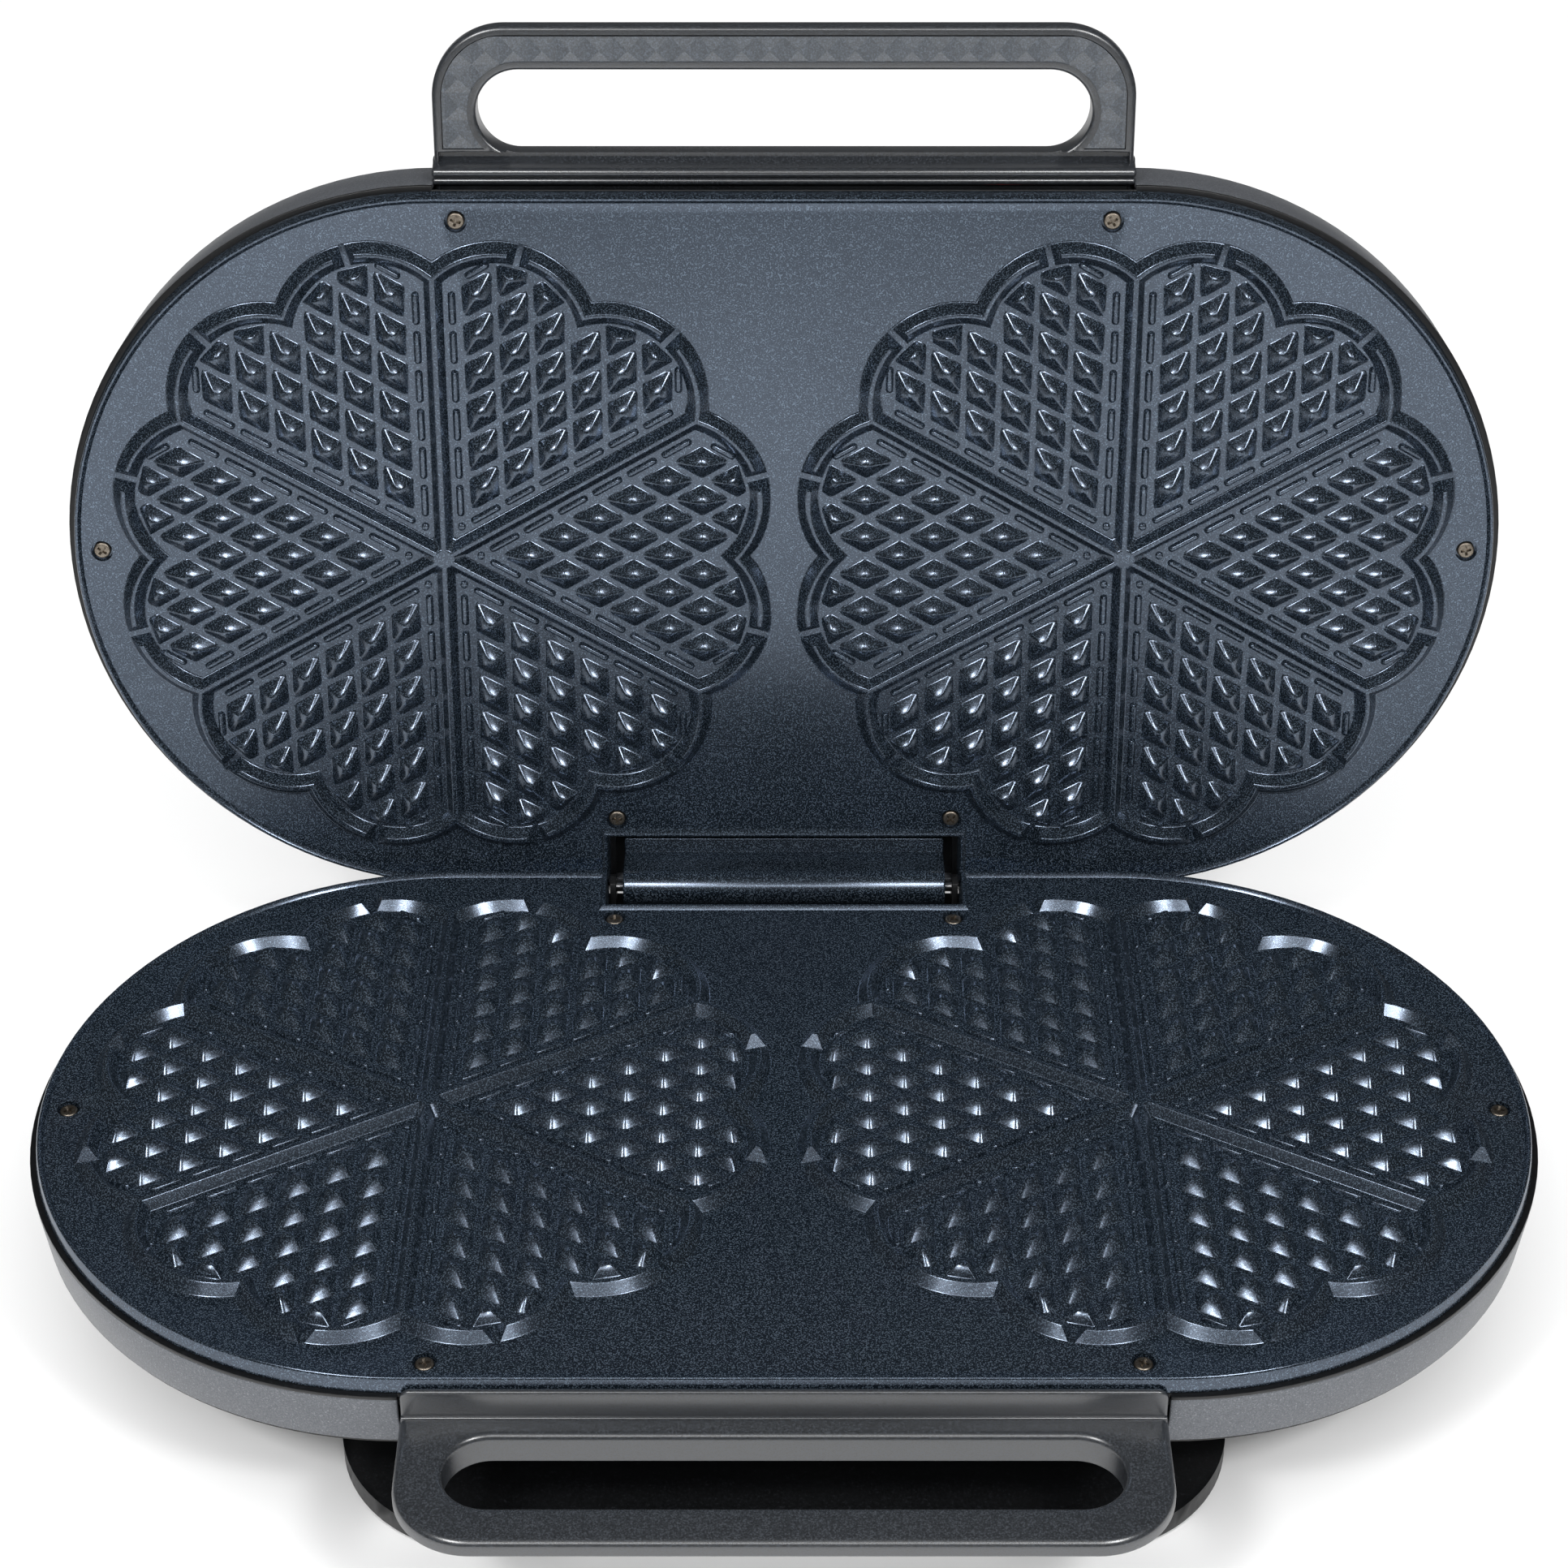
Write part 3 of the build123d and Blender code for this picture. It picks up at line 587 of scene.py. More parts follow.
stepX = lattice["pitch"] * cos(radians(lobeTurn))
stepY = lattice["pitch"] * sin(radians(lobeTurn))


# What is left of an outline behind a line through a spot
def clipped(points, spot, way):
    kept = []
    for one, two in zip(points, points[1:] + points[:1]):
        a, b = (one - spot).dot(way), (two - spot).dot(way)
        if a <= 0:
            kept.append(one)
        if (a < 0 < b) or (b < 0 < a):
            kept.append(one.lerp(two, a / (a - b)))
    return kept


# A corner takes at most two fifths of each of its sides
def roundCorners(points, radius, steps=2):
    loop = []
    for index, corner in enumerate(points):
        before, after = points[index - 1], points[(index + 1) % len(points)]
        back, ahead = before - corner, after - corner
        half = back.angle(ahead) / 2
        length = min(radius / tan(half), 0.4 * back.length, 0.4 * ahead.length)
        start = corner + back.normalized() * length
        end = corner + ahead.normalized() * length
        for k in range(steps + 1):
            t = k / steps
            loop.append(start * (1 - t) ** 2 + corner * 2 * t * (1 - t) + end * t ** 2)
    return loop


def wafflePoint(x, y):
    side = lattice["pitch"] - lattice["web"] / sin(radians(heartTurn))
    wide, deep = side * cos(radians(lobeTurn)), side * sin(radians(lobeTurn))
    foot = [Vector(spot) for spot in ((x + wide, y), (x, y + deep), (x - wide, y), (x, y - deep))]
    for lobe in (-halfTurn, halfTurn):
        if y * lobe < 0:
            continue
        hub = Vector((cos(radians(lobe)), sin(radians(lobe)))) * relief["lobeRing"]
        away = Vector((x, y)) - hub
        if away.dot(hub) > 0:
            way = away.normalized()
            foot = clipped(foot, hub + way * lattice["limit"], way)
    middle = sum(foot, Vector((0, 0))) / len(foot)
    foot = [point - middle for point in roundCorners(foot, lattice["corner"])]
    net = bmesh.new()
    width = min(point.length for point in foot)
    levels = []
    for share, height, roundness in lattice["levels"]:
        loop = []
        for point in foot:
            circle = point.normalized() * width * lattice["blunt"]
            loop.append(middle + share * (point * (1 - roundness) + circle * roundness))
        levels.append((loop, height))
    rows = addSkin(net, levels)
    tip = net.verts.new((middle.x, middle.y, lattice["tip"]))
    last = rows[-1]
    for k in range(len(last)):
        net.faces.new((last[k], last[(k + 1) % len(last)], tip))
    net.faces.new(list(reversed(rows[0])))
    return pieceFrom(net, "point")


# A low bar with round ends
def waffleBar(length, width, place, angle):
    bar = block((-length / 2, -width / 2, -lattice["sunk"]),
                (length / 2, width / 2, lattice["barHeight"]))
    bevelWhere(bar, lambda e: abs(e.verts[0].co.z - e.verts[1].co.z) > 1,
               width * lattice["barEnd"])
    lean = lattice["barLean"]
    stretch(bar, lambda v: v.co.z > 0, (1 - 2 * lean / length, 1 - 2 * lean / width, 1))
    softEdges(bar, lattice["barEdge"], 2, 40)
    selectWhere(bar, lambda f: f.normal.z > 0.99)
    bpy.ops.mesh.inset(thickness=lattice["barRim"])
    leave()
    return moved(bar, Matrix.Translation((*place, 0)) @ Matrix.Rotation(angle, 4, "Z"))


heartParts = []
for i, last in lattice["rowLimit"].items():
    for j in range(1, last + 1):
        heartParts.append(wafflePoint(lattice["first"] + (i + j - 2) * stepX, (i - j) * stepY))
for side in (-1, 1):
    for step in range(lattice["barCount"]):
        along = lattice["barStart"] + step * lattice["pitch"]
        angle = side * radians(lobeTurn)
        off = -side * lattice["barOffset"]
        place = (along * cos(angle) - off * sin(angle), along * sin(angle) + off * cos(angle))
        heartParts.append(waffleBar(*lattice["barSize"], place, angle))
    barX, barY = lattice["lobeBarSpot"]
    heartParts.append(waffleBar(*lattice["lobeBar"], (barX, -side * barY),
                                side * radians(lobeTurn)))
stud = drum(lattice["studRadius"], lattice["studHeight"] + lattice["sunk"],
            (lattice["studSpot"], 0, lattice["studHeight"] / 2 - lattice["sunk"] / 2), 16)
softEdges(stud, lattice["studRound"], 3, 40)
heartParts.append(stud)
heart = join("heartRelief", heartParts)
smooth(heart, 50)
print("heart relief,", len(heart.data.polygons), "faces")

# Plate body: skirt, rim bead and land, round the notch for the hinge
plateBody = {
    "profile": [(2.5, -6.0), (2.5, -3.5), (0.15, -3.5), (0.0, -3.3), (0.65, 0.75), (0.85, 1.15),
                (1.05, 1.3), (1.55, 1.3), (1.75, 1.2), (2.6, 0.12), (3.0, 0.0)],
    "endSteps": 56,
    "screwSpots": ((98.4, -108.1), (213.2, -1.5), (54.1, 92.6)),
    "wellRadius": 3.4,
    "wellDepth": 4.0,
    "wellMiddle": 0.1,
}


def notchedLoop(inset):
    radius = cooker["halfDepth"] - inset
    side = cooker["notchHalf"] + inset
    front = cooker["notchFront"] - inset
    points = []
    for sign, first in ((1, -90), (-1, 90)):
        points += arcAt((sign * endX, 0), radius, first, first + 180, plateBody["endSteps"])
        if sign == 1:
            points += [(side, radius), (side, front), (-side, front), (-side, radius)]
    return [Vector(point) for point in points]


slab = skinned("slab", notchedLoop, plateBody["profile"])
screwSpots = [(side * x, y) for x, y in plateBody["screwSpots"] for side in (-1, 1)]
wells = [drum(plateBody["wellRadius"], plateBody["wellDepth"], (x, y, plateBody["wellMiddle"]), 40)
         for x, y in screwSpots]
cut(slab, join("wells", wells))
smooth(slab, 30)
smooth(flower, 24)

plateParts = [slab]
for side in (-1, 1):
    centre = Matrix.Translation((side * cooker["flowerX"], 0, 0))
    plateParts.append(twin(flower, centre))
    for turn in range(heartCount):
        plateParts.append(twin(heart, centre @ Matrix.Rotation(radians(heartTurn * turn), 4, "Z")))
plate = join("plate", plateParts)
bpy.data.objects.remove(flower)
bpy.data.objects.remove(heart)
upperPlate = twin(plate, name="upperWafflePlate")
plate.name = "lowerWafflePlate"
seat(plate, lowerPlace, "base", "lower_plate", coating)
seat(upperPlate, lidPlace, "lid", "upper_plate", coating)
print("plates,", len(plate.data.polygons), "faces each")

# Screws: pan heads with a cross recess
screwHead = {
    "radius": 2.7,
    "height": 1.6,
    "seat": -1.9,
    "round": 0.7,
    "crossLong": 1.75,
    "crossWide": 0.42,
    "crossDeep": 1.1,
    "crossOver": 0.2,        # how far the cutter stands over the head
    "crossTaper": (0.6, 0.9, 1),
    "turns": (17, 62, 38, 80, 5, 51),
}
head = drum(screwHead["radius"], screwHead["height"],
            (0, 0, screwHead["seat"] + screwHead["height"] / 2), 32)
headTop = screwHead["seat"] + screwHead["height"]
bevelWhere(head, lambda e: all(v.co.z > headTop - 0.1 for v in e.verts)
           and len(e.link_faces) == 2 and any(len(f.verts) > 8 for f in e.link_faces),
           screwHead["round"], 4)
crossTop = headTop + screwHead["crossOver"]
crossFoot = crossTop - screwHead["crossDeep"] - screwHead["crossOver"]
for angle in (0, 90):
    slot = block((-screwHead["crossLong"], -screwHead["crossWide"], crossFoot),
                 (screwHead["crossLong"], screwHead["crossWide"], crossTop))
    stretch(slot, lambda v: v.co.z < crossTop - 0.5, screwHead["crossTaper"])
    cut(head, moved(slot, Matrix.Rotation(radians(angle), 4, "Z")))
smooth(head, 30)
for name, place, body, node in (("lowerPlateScrews", lowerPlace, "base", "lower_plate_screws"),
                                ("upperPlateScrews", lidPlace, "lid", "upper_plate_screws")):
    heads = [twin(head, Matrix.Translation((x, y, 0)) @ Matrix.Rotation(radians(turn), 4, "Z"))
             for (x, y), turn in zip(screwSpots, screwHead["turns"])]
    seat(join(name, heads), place, body, node, nickel)
bpy.data.objects.remove(head)
print("screws")

# Frames: a black ring between plate and band, cut away at the back, where the trough for the
# hinge takes its shape from the CAD node
frameRing = {
    "section": [(-1.7, -4.7), (-1.7, -3.5), (2.2, -3.5), (2.2, -6.0), (13.0, -6.0), (13.0, -9.0),
                (0.9, -9.0), (0.9, -4.7)],
    "troughLow": (-62, 84, -40),
    "troughHigh": (62, 130, 10),
    "handleLow": (-105.3, -130, -12),
    "handleHigh": (105.3, -116.8, 0),
    "edge": 0.2,
}
for name, node, place, body in (("baseRing", "base_frame", lowerPlace, "base"),
                                ("lidRing", "lid_frame", lidPlace, "lid")):
    ring = ovalRing(name, frameRing["section"])
    cut(ring, block(frameRing["troughLow"], frameRing["troughHigh"]))
    cut(ring, block(frameRing["handleLow"], frameRing["handleHigh"]))
    softEdges(ring, frameRing["edge"], 2, 40)
    smooth(ring)
    moved(ring, toMillimetres @ place)
    trough = fromNode(node, "trough")
    keep = moved(block(frameRing["troughLow"], frameRing["troughHigh"]), toMillimetres @ place)
    cut(trough, keep, "INTERSECT")
    softEdges(trough, frameRing["edge"], 2, 40)
    smooth(trough)
    seat(join(name, [ring, trough]), toMetres, body, node, blackNylon)

# Bottom cover: a flat oval dish
cover = {"profile": [(1.6, -21.4), (1.4, -22.2), (1.4, -23.4), (1.9, -23.9)], "endSteps": 60}


def ovalLoop(inset):
    radius = cooker["halfDepth"] - inset
    return [Vector(point) for side, first in ((1, -90), (-1, 90))
            for point in arcAt((side * endX, 0), radius, first, first + 180, cover["endSteps"])]


dish = skinned("bottomCover", ovalLoop, cover["profile"])
smooth(dish, 25)
seat(dish, lowerPlace, "base", "bottom_cover", standPlastic)
print("frames and cover")

# Bands: satin metal round each half
band = {
    "wall": 1.6,
    "top": -4.7,
    "bottom": -22.2,
    "footInset": 0.5,
    "topInset": -1.7,
    "edge": 0.5,
    "handleLow": (-105.3, -130, -20.6),
    "handleHigh": (105.3, -113.3, 0),
    "hingeLow": (-57.8, 105, -10.8),
    "hingeHigh": (57.8, 125, 0),
}
baseBand = ovalRing("baseBand", [(band["topInset"], band["top"]),
                                 (band["footInset"], band["bottom"]),
                                 (band["footInset"] + band["wall"], band["bottom"]),
                                 (band["topInset"] + band["wall"], band["top"])])
cut(baseBand, block(band["handleLow"], band["handleHigh"]))
cut(baseBand, block(band["hingeLow"], band["hingeHigh"]))
softEdges(baseBand, band["edge"], 3, 40)
smooth(baseBand)
seat(baseBand, lowerPlace, "base", "base_housing", bandLacquer)

# The lid's band runs on into its crown: one shell, outside first, then inside
crown = {
    "flat": -31.9,
    "flatInset": 16.0,
    "middleInset": 60.0,
    "shoulder": (-0.9, -28.0),
    "shoulderRound": 5.5,
    "insideFlat": -30.1,
    "insideFrom": (60.0, -30.2),
    "insideShoulder": (2.2, -27.6),
    "insideRound": 4.0,
    "hingeLow": (-52.3, 105, -7.3),
    "hingeHigh": (52.3, 125, 0),
}
rim = [(band["topInset"], band["top"]), (band["topInset"] + band["wall"], band["top"])]
outsideCurve = rounded(rim[0], crown["shoulder"], (crown["flatInset"], crown["flat"]),
                       crown["shoulderRound"], 8)
insideCurve = rounded(crown["insideFrom"], crown["insideShoulder"], rim[1],
                      crown["insideRound"], 6)
crownProfile = ([(crown["middleInset"], crown["flat"]), (crown["flatInset"], crown["flat"])]
                + outsideCurve[::-1] + rim + insideCurve[::-1]
                + [(crown["middleInset"], crown["insideFlat"])])
lidBand = skinned("lidCover", ovalLoop, crownProfile)
cut(lidBand, block(band["handleLow"], band["handleHigh"]))
cut(lidBand, block(crown["hingeLow"], crown["hingeHigh"]))
softEdges(lidBand, band["edge"], 3, 40)
smooth(lidBand)
seat(lidBand, lidPlace, "lid", "lid_housing", bandLacquer)
print("bands")

# Grips: a loop round a finger slot, its edges swept as arcs; heights count from the plate's face
grip = {
    "half": 105.0,
    "front": -164.5,
    "back": -113.7,
    "corner": 22.0,
    "face": -10.8,
    "under": -20.6,
    "chamfer": 5.0,
    "slotHalf": 92.0,
    "slotY": -138.35,
    "slotRadius": 12.85,
    "flangeY": -117.0,
    "flangeThick": 1.8,
    "flangeHalf": 104.6,
    "flangeTop": -1.0,
    "flangeFoot": -14.0,
    "flangeCorner": 3.0,
    "flangeRound": 0.8,
    "lowerRound": 2.3,       # edge of the face, and of the finger slot
    "lowerSlotRound": 2.0,
    "lidRound": 1.5,
    "lidSlotRound": 1.1,
    "chamferRound": 0.8,
    "underSlotRound": 0.6,
    "cornerSteps": 24,
    "slotSteps": 32,
    "ribFoot": -12,          # small rib in front of the flange's foot
    "ribThick": 0.8,
    "ribRound": 0.55,
    "ribMiddle": (-0.25, 0.2),
    "ribTop": 0.75,
    "ribBehind": 0.3,
    "ribEnd": 0.3,
}


def gripLoop(inset):
    half, front, back = grip["half"] - inset, grip["front"] + inset, grip["back"] - inset
    radius = max(grip["corner"] - inset, 1)
    points = []
    for side, first in ((-1, 180), (1, 270)):
        points += arcAt((side * (half - radius), front + radius), radius, first, first + 90,
                        grip["cornerSteps"])
    return [Vector(point) for point in points + [(half, back), (-half, back)]]


def slotLoop(outset):
    radius = grip["slotRadius"] + outset
    middle = grip["slotHalf"] - grip["slotRadius"]
    return [Vector(point) for side, first in ((1, -90), (-1, 90))
            for point in arcAt((side * middle, grip["slotY"]), radius, first, first + 180,
                               grip["slotSteps"])]


# Profiles as insets and heights; the points at 20 only give directions
def gripBody(name, edgeRound, slotRound):
    top, under, slope = grip["face"], grip["under"], grip["chamfer"]
    edge = [(slope, under)]
    edge += rounded((slope, under), (0, under + slope), (0, top), grip["chamferRound"])
    edge += rounded((0, under), (0, top), (20, top), edgeRound, 6)
    hole = rounded((20, under), (0, under), (0, top), grip["underSlotRound"])
    hole += rounded((0, under), (0, top), (20, top), slotRound, 6)
    net = bmesh.new()
    outside = addSkin(net, [(gripLoop(inset), height) for inset, height in edge])
    inside = addSkin(net, [(slotLoop(outset), height) for outset, height in hole])
    for k in (0, -1):
        bmesh.ops.triangle_fill(net, use_beauty=True,
                                edges=loopEdges(net, outside[k]) + loopEdges(net, inside[k]))
    return pieceFrom(net, name)


# A bar along X with the given section
def barAlong(name, section, half, edgeRound):
    bar = prism(name, *([(side * half, y, z) for y, z in section] for side in (-1, 1)))
    bevelWhere(bar, lambda f: len(f.verts) > 4, edgeRound, kind="faces")
    return smooth(bar, 40)


lowerGrip = gripBody("lowerGrip", grip["lowerRound"], grip["lowerSlotRound"])
smooth(lowerGrip, 25)
flangeFront, corner = grip["flangeY"] - grip["flangeThick"], grip["flangeCorner"]
cornerX, cornerZ = grip["flangeHalf"] - corner, grip["flangeTop"] - corner
upright = [(-grip["flangeHalf"], grip["flangeFoot"]), (grip["flangeHalf"], grip["flangeFoot"])]
upright += arcAt((cornerX, cornerZ), corner, 0, 90) + arcAt((-cornerX, cornerZ), corner, 90, 180)
flange = prism("flange",
               *([(x, y, z) for x, z in upright] for y in (flangeFront, grip["flangeY"])))
softEdges(flange, grip["flangeRound"], 4, 40)
smooth(flange, 40)
# The rib at the flange's foot catches the light
ribBack, ribFront = flangeFront + grip["ribBehind"], flangeFront - grip["ribThick"]
ribMiddle = (flangeFront + grip["ribMiddle"][0], grip["face"] + grip["ribMiddle"][1])
ribSection = [(ribBack, grip["ribFoot"]), (ribBack, grip["face"] + grip["ribTop"])]
ribSection += arcAt(ribMiddle, grip["ribRound"], 90, 180, 5) + [(ribFront, grip["ribFoot"])]
rib = barAlong("flangeFoot", ribSection, grip["flangeHalf"], grip["ribEnd"])
lowerGrip = join("lowerGrip", [lowerGrip, flange, rib])
seat(lowerGrip, lowerPlace, "base", "lower_handle", gripPhenolic)

# Inlay of the lid's grip: a U-shaped panel cut out of a field of low square points
inlay = {
    "pitch": 8.43,
    "halfWidth": 102.1,
    "front": -161.6,
    "back": -127.3,
    "corner": 19.1,
    "slotHalf": 94.3,
    "slotY": -138.35,
    "slotRadius": 15.15,
    "base": -12.2,
    "foot": -11.3,
    "rise": 0.65,
    "clear": 3,              # how far the panel's blank stands over the points' feet
    "bedSunk": 0.2,
    "barRow": -157.0,        # middle of the row of points along the bar
    "columns": 26,
    "rows": 6,
    "fieldDepth": 4.0,
    "edge": 0.3,
    "bedScale": (1.0028, 1.012, 1),
    "bedMiddle": -141.5,
    "cornerSteps": 14,
    "slotSteps": 20,
}


def inlayOutline():
    points = []
    for side, first in ((-1, 180), (1, 270)):
        middle = (side * (inlay["halfWidth"] - inlay["corner"]), inlay["front"] + inlay["corner"])
        points += arcAt(middle, inlay["corner"], first, first + 90, inlay["cornerSteps"])
    points.append((inlay["halfWidth"], inlay["back"]))
    reach = degrees(asin((inlay["back"] - inlay["slotY"]) / inlay["slotRadius"]))
    for side, first, last in ((1, reach, -90), (-1, 270, 180 - reach)):
        middle = (side * (inlay["slotHalf"] - inlay["slotRadius"]), inlay["slotY"])
        points += arcAt(middle, inlay["slotRadius"], first, last, inlay["slotSteps"])
    points.append((-inlay["halfWidth"], inlay["back"]))
    return points


# A field of square points as wide as the grip, thick enough to cut the panel's shape from
def pointField():
    pitch, columns, rows = inlay["pitch"], inlay["columns"], inlay["rows"]
    left, lowest, wide = -columns / 2 * pitch, inlay["barRow"] - pitch / 2, columns + 1
    points = [(left + column * pitch, lowest + row * pitch, inlay["foot"])
              for row in range(rows + 1) for column in range(wide)]
    faces = []
    for row in range(rows):
        for column in range(columns):
            corner, tip = row * wide + column, len(points)
            points.append((left + (column + 0.5) * pitch, lowest + (row + 0.5) * pitch,
                           inlay["foot"] + inlay["rise"]))
            corners = [corner, corner + 1, corner + wide + 1, corner + wide]
            faces += [(corners[k], corners[(k + 1) % 4], tip) for k in range(4)]
    piece = outward(meshOf("points", points, faces))
    edit(piece)
    bpy.ops.mesh.select_all(action="SELECT")
    deep = inlay["fieldDepth"]
    bpy.ops.mesh.extrude_region_move(TRANSFORM_OT_translate={"value": (0, 0, -deep)})
    leave()
    stretch(piece, lambda v: v.co.z < inlay["foot"] - deep / 2, (1, 1, 0),
            (0, 0, inlay["foot"] - deep))
    return outward(piece)


outline = inlayOutline()
panel = prism("gripInlay", *([(x, y, z) for x, y in outline]
                             for z in (inlay["base"], inlay["foot"] + inlay["clear"])))
points = pointField()
# The bed is a little larger than the panel, which leaves the thin dark line round it
bed = twin(panel, Matrix.Translation((0, 0, -inlay["bedSunk"])), "bed")
lidGrip = gripBody("lidGrip", grip["lidRound"], grip["lidSlotRound"])
stretch(bed, lambda v: True, inlay["bedScale"], (0, inlay["bedMiddle"], 0))
cut(lidGrip, bed)
smooth(lidGrip, 25)
# Root: a face behind the loop's own, then two beads; the legs keep it in shadow at its ends
root = {
    "low": (-103.7, -126.2, -13.4),
    "high": (103.7, -113.0, -9.0),
    "round": 0.7,
    "slope": [(-124.6, -14.2), (-124.2, -13.1), (-123.3, -12.2), (-122.7, -10.8), (-122.5, -9.4)],
    "beads": [((-120.95, -8.0), 1.5, 195, -15, 10), ((-118.15, -8.5), 1.15, 180, 0, 8)],
    "groove": (-119.4, -9.0),
    "back": (-117.0, -14.2),
    "beadHalf": 105.6,
    "beadEnd": 0.9,
}
cut(lidGrip, block(root["low"], root["high"]))
bevelWhere(lidGrip, lambda e: all(abs(v.co.y - root["low"][1]) < 0.01
                                  and abs(v.co.z - grip["face"]) < 0.01 for v in e.verts),
           root["round"])
smooth(lidGrip, 25)
largeBead, smallBead = root["beads"]
section = (root["slope"] + arcAt(*largeBead) + [root["groove"]] + arcAt(*smallBead)
           + [root["back"]])
beads = barAlong("beads", section, root["beadHalf"], root["beadEnd"])
lidGrip = join("lidGrip", [lidGrip, beads])
seat(lidGrip, lidPlace, "lid", "lid_handle", gripPhenolic)
print("grips,", len(lidGrip.data.polygons), "and", len(lowerGrip.data.polygons), "faces")
cut(panel, points, "INTERSECT")
softEdges(panel, inlay["edge"], 2, 60)
smooth(panel, 8)
seat(panel, lidPlace, "lid", "handle_grip_panel", inlayRubber)
print("inlay,", len(panel.data.polygons), "faces")

# Carried-over nodes: merged copies with their edges rounded
refined = [
    ("stand", "standFoot", "base", "black_plastic", standPlastic, 1.2, 3),
    ("hinge_knuckle", "hingeBarrel", "lid", "coated_plate", coating, 0.5, 2),
    ("hinge_brackets", "hingeEars", "base", "hinge_steel", blackedSteel, 0.2, 2),
    ("hinge_pins", "hingePins", "lid", "hinge_steel", steel, 0.25, 2),
    ("temperature_dial", "thermostatDial", "dial", "black_plastic", blackNylon, 0.4, 2),
    ("rubber_feet", "rubberFeet", "base", "sole_rubber", soleRubber, 0.5, 2),
    ("cord_grommet", "cordGrommet", "base", "sole_rubber", soleRubber, 0.4, 2),
    ("power_lamp", "powerLamp", "lid", "red_lens", redLens, 0.8, 3),
    ("ready_lamp", "readyLamp", "lid", "green_lens", greenLens, 0.8, 3),
]
for node, name, body, slotName, material, width, segments in refined:
    piece = fromNode(node, name)
    softEdges(piece, width, segments, 32)
    smooth(piece)
    seat(piece, toMetres, body, node, material)
    print(name, len(piece.data.polygons), "faces")

plain = {
    "lower_heating_element": sheath, "upper_heating_element": sheath,
    "lower_reflector": trayAluminium, "upper_reflector": trayAluminium,
    "stand_screws": nickel, "lower_handle_screws": nickel, "lid_handle_screws": nickel,
    "hinge_screws": nickel, "terminal_block": ceramic, "thermostat": ceramic,
    "thermal_fuse": ceramic,
}
for node, material in plain.items():
    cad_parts[node].data.materials.clear()
    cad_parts[node].data.materials.append(material)
print("nodes carried over")

# Stage: pale floor, white surroundings, an even light from above and three softboxes in front
stage = {
    "floor": "#f4f4f4",
    "floorSize": 6.0,
    "brightHalf": 0.45,      # the painted reflection of the floor: metres, then brightness
    "sideFade": 0.45,
    "brightFrom": -0.35,
    "frontFade": 0.3,
    "least": 0.9,
    "dark": 0.1,
    "sky": 0.3,              # what lights the cooker, shows in the picture, and is reflected
    "seenSky": 1.0,
    "reflectedSky": 0.07,
    "ceilingPower": 2.3,
    "ceilingAngle": 110,
}
bpy.ops.object.select_all(action="DESELECT")
bpy.ops.mesh.primitive_plane_add(size=stage["floorSize"], location=(0, 0, 0))
floor = bpy.context.object
floor.name = "paleFloor"
floorPaint, tree, shader = newMaterial("paleFloorWithPaintedReflection", Roughness=0.6)
floor.data.materials.append(floorPaint)
# Seen in reflections, the floor carries a painted reflection: bright only in front of the cooker
# and dark elsewhere, standing in for a studio's screens
place = addNode(tree, "ShaderNodeTexCoord")
axes = addNode(tree, "ShaderNodeSeparateXYZ", links={"Vector": place.outputs["Object"]})
aside = addNode(tree, "ShaderNodeMath", {"operation": "ABSOLUTE"}, {0: axes.outputs["X"]})
across = addNode(tree, "ShaderNodeMapRange", {
    "From Min": stage["brightHalf"], "From Max": stage["brightHalf"] + stage["sideFade"],
    "To Min": 1.0, "To Max": 0.0
}, {"Value": aside.outputs[0]})
ahead = addNode(tree, "ShaderNodeMapRange", {
    "From Min": stage["brightFrom"], "From Max": stage["brightFrom"] - stage["frontFade"],
    "To Min": stage["least"], "To Max": 1.0
}, {"Value": axes.outputs["Y"]})
lit = addNode(tree, "ShaderNodeMath", {"operation": "MULTIPLY"},
              {0: across.outputs[0], 1: ahead.outputs[0]})
paintedReflectionLevel = addNode(tree, "ShaderNodeMapRange", {"To Min": stage["dark"], "To Max": 1.0},
                 {"Value": lit.outputs[0]})
# Glossy rays see this painted reflection; camera and other rays see the even pale floor
ray = addNode(tree, "ShaderNodeLightPath")
amount = addNode(tree, "ShaderNodeMix", {"data_type": "FLOAT"},
                 {"Factor": ray.outputs["Is Glossy Ray"], "B": paintedReflectionLevel.outputs[0]})
amount.inputs["A"].default_value = 1.0
paint = addNode(tree, "ShaderNodeMix", {"data_type": "RGBA"}, {"Factor": amount.outputs["Result"]})
paint.inputs["A"].default_value = (0, 0, 0, 1)
paint.inputs["B"].default_value = shade(stage["floor"])
tree.links.new(paint.outputs["Result"], shader.inputs["Base Color"])

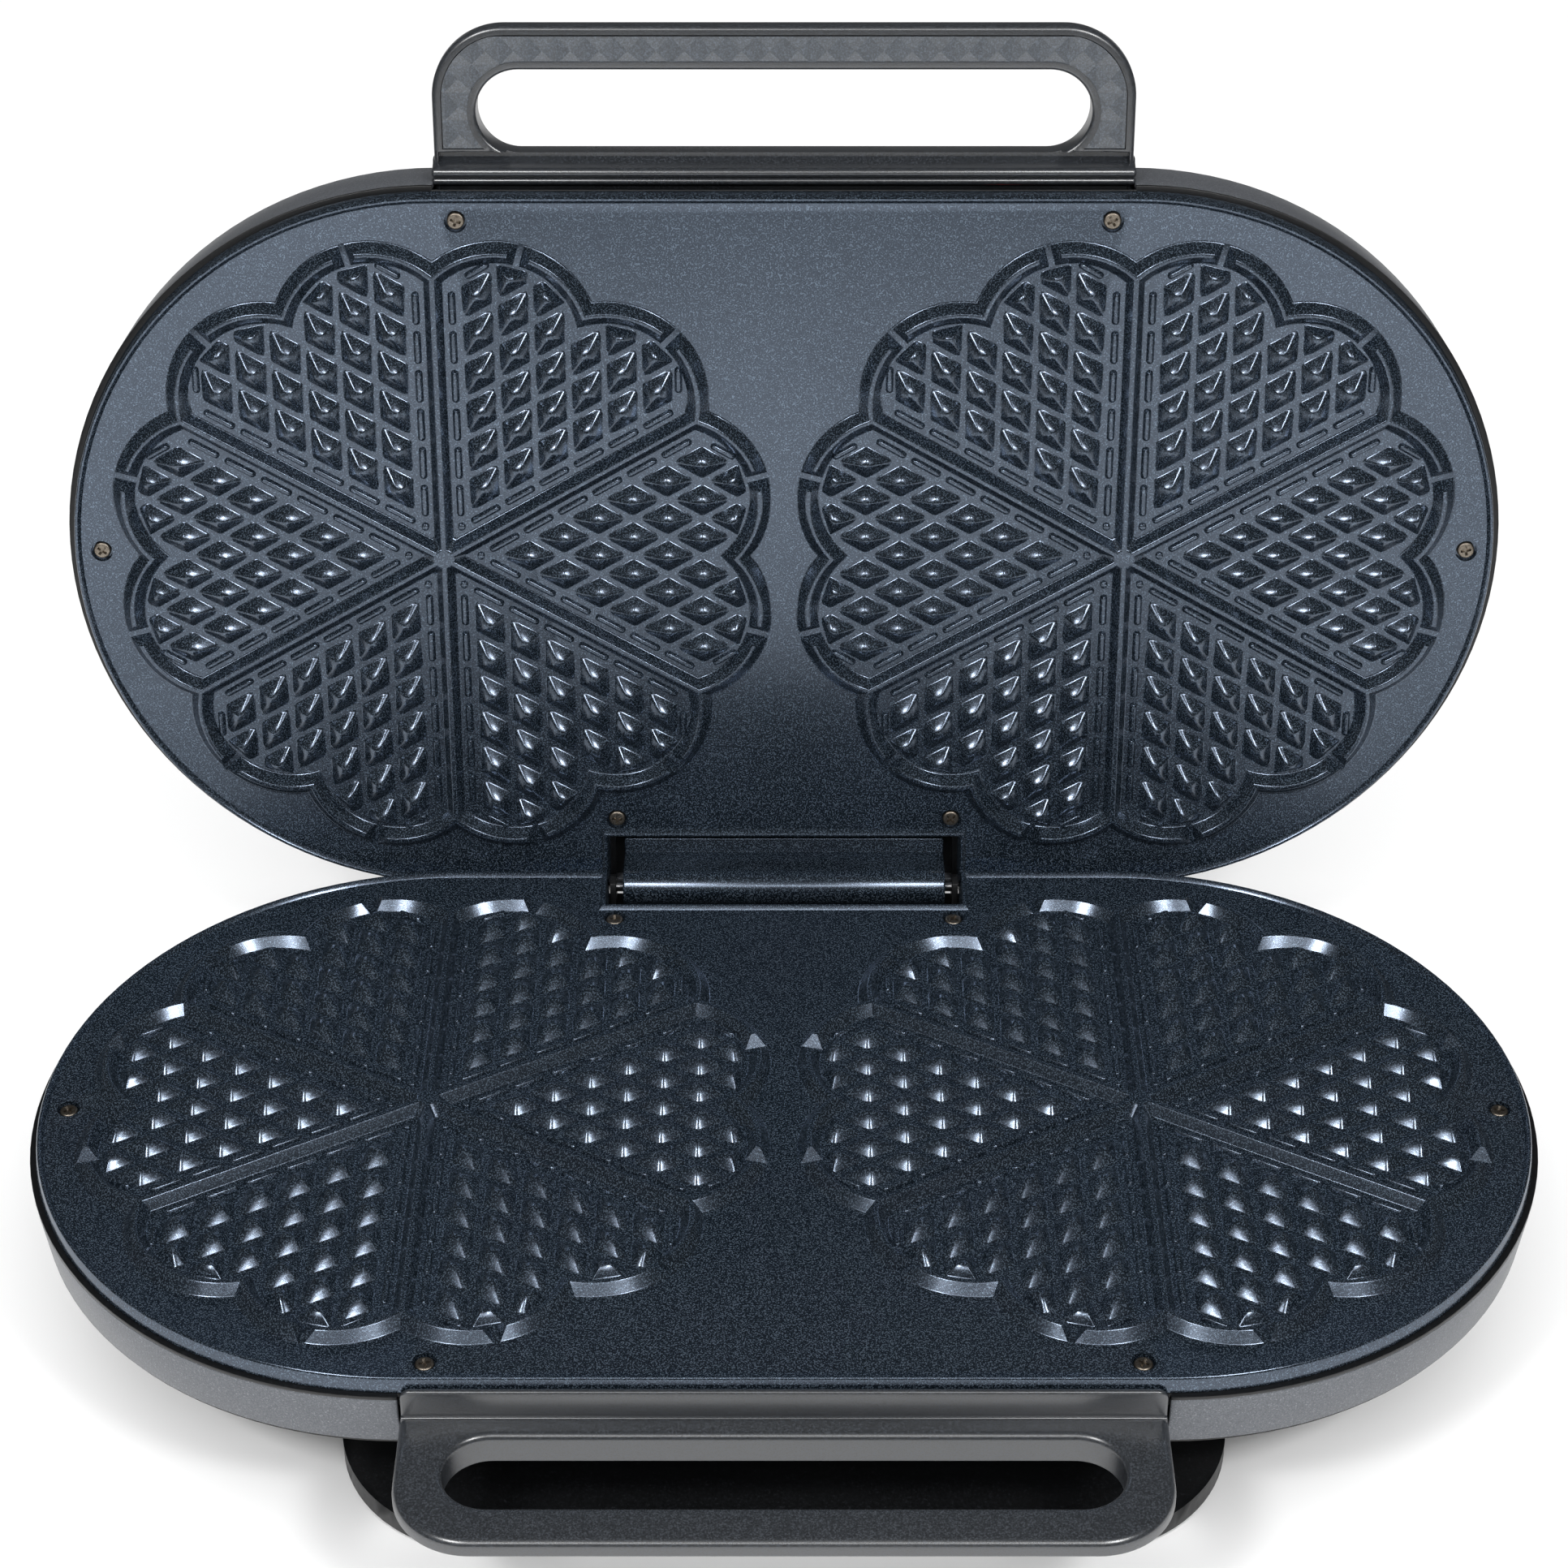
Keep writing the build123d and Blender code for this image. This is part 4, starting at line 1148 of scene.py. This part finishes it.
world = bpy.data.worlds.new("studio")
world.use_nodes = True
tree = world.node_tree
background = tree.nodes["Background"]
background.inputs["Color"].default_value = (1, 1, 1, 1)
background.inputs["Strength"].default_value = stage["sky"]
ray = addNode(tree, "ShaderNodeLightPath")
bright, dim = (addNode(tree, "ShaderNodeBackground", {"Color": (1, 1, 1, 1), "Strength": level})
               for level in (stage["seenSky"], stage["reflectedSky"]))
mirror = addNode(tree, "ShaderNodeMixShader", links={0: ray.outputs["Is Glossy Ray"],
                                                     1: background.outputs[0], 2: dim.outputs[0]})
mix = addNode(tree, "ShaderNodeMixShader", links={0: ray.outputs["Is Camera Ray"],
                                                  1: mirror.outputs[0], 2: bright.outputs[0]})
tree.links.new(mix.outputs[0], tree.nodes["World Output"].inputs["Surface"])
bpy.context.scene.world = world

# Even light from above, too broad to be seen as a reflection
skyLight = bpy.data.lights.new("ceiling", "SUN")
skyLight.energy = stage["ceilingPower"]
skyLight.angle = radians(stage["ceilingAngle"])
sky = bpy.data.objects.new("ceiling", skyLight)
sky.location = (0, 0, 2)
sky.visible_glossy = False
bpy.context.scene.collection.objects.link(sky)


def softbox(name, place, aim, size, power):
    light = bpy.data.lights.new(name, "AREA")
    light.shape = "RECTANGLE"
    light.size, light.size_y = size
    light.energy = power
    lamp = bpy.data.objects.new(name, light)
    lamp.location = place
    lamp.rotation_euler = (Vector(aim) - Vector(place)).to_track_quat("-Z", "Y").to_euler()
    bpy.context.scene.collection.objects.link(lamp)


# Place, aim, size and power: two in front draw the bright lines along edges and points, and a
# long one over the camera draws those along rounded edges
softboxes = {
    "frontLeft": ((-0.6, -0.9, 1.2), (0, 0.05, 0.15), (0.3, 0.2), 8),
    "frontRight": ((0.6, -0.9, 1.2), (0, 0.05, 0.15), (0.3, 0.2), 8),
    "overCamera": ((0, -1.05, 0.98), (0, 0, 0.1), (1.5, 0.12), 5),
}
for name, settings in softboxes.items():
    softbox(name, *settings)

# Camera where the photograph was taken from; focal length and width are in its pixels
shot = {
    "focalLength": 4398.5,
    "pixelsWide": 1932,
    "sensor": 36.0,
    "place": (0, -0.8308, 0.7549),
    "tilt": 54.9,
}
lensData = bpy.data.cameras.new("photoCamera")
lensData.sensor_width = shot["sensor"]
lensData.lens = shot["focalLength"] * shot["sensor"] / shot["pixelsWide"]
camera = bpy.data.objects.new("photoCamera", lensData)
camera.location = shot["place"]
camera.rotation_euler = (radians(shot["tilt"]), 0, 0)
bpy.context.scene.collection.objects.link(camera)
bpy.context.scene.camera = camera
bpy.context.scene.view_settings.view_transform = "Standard"
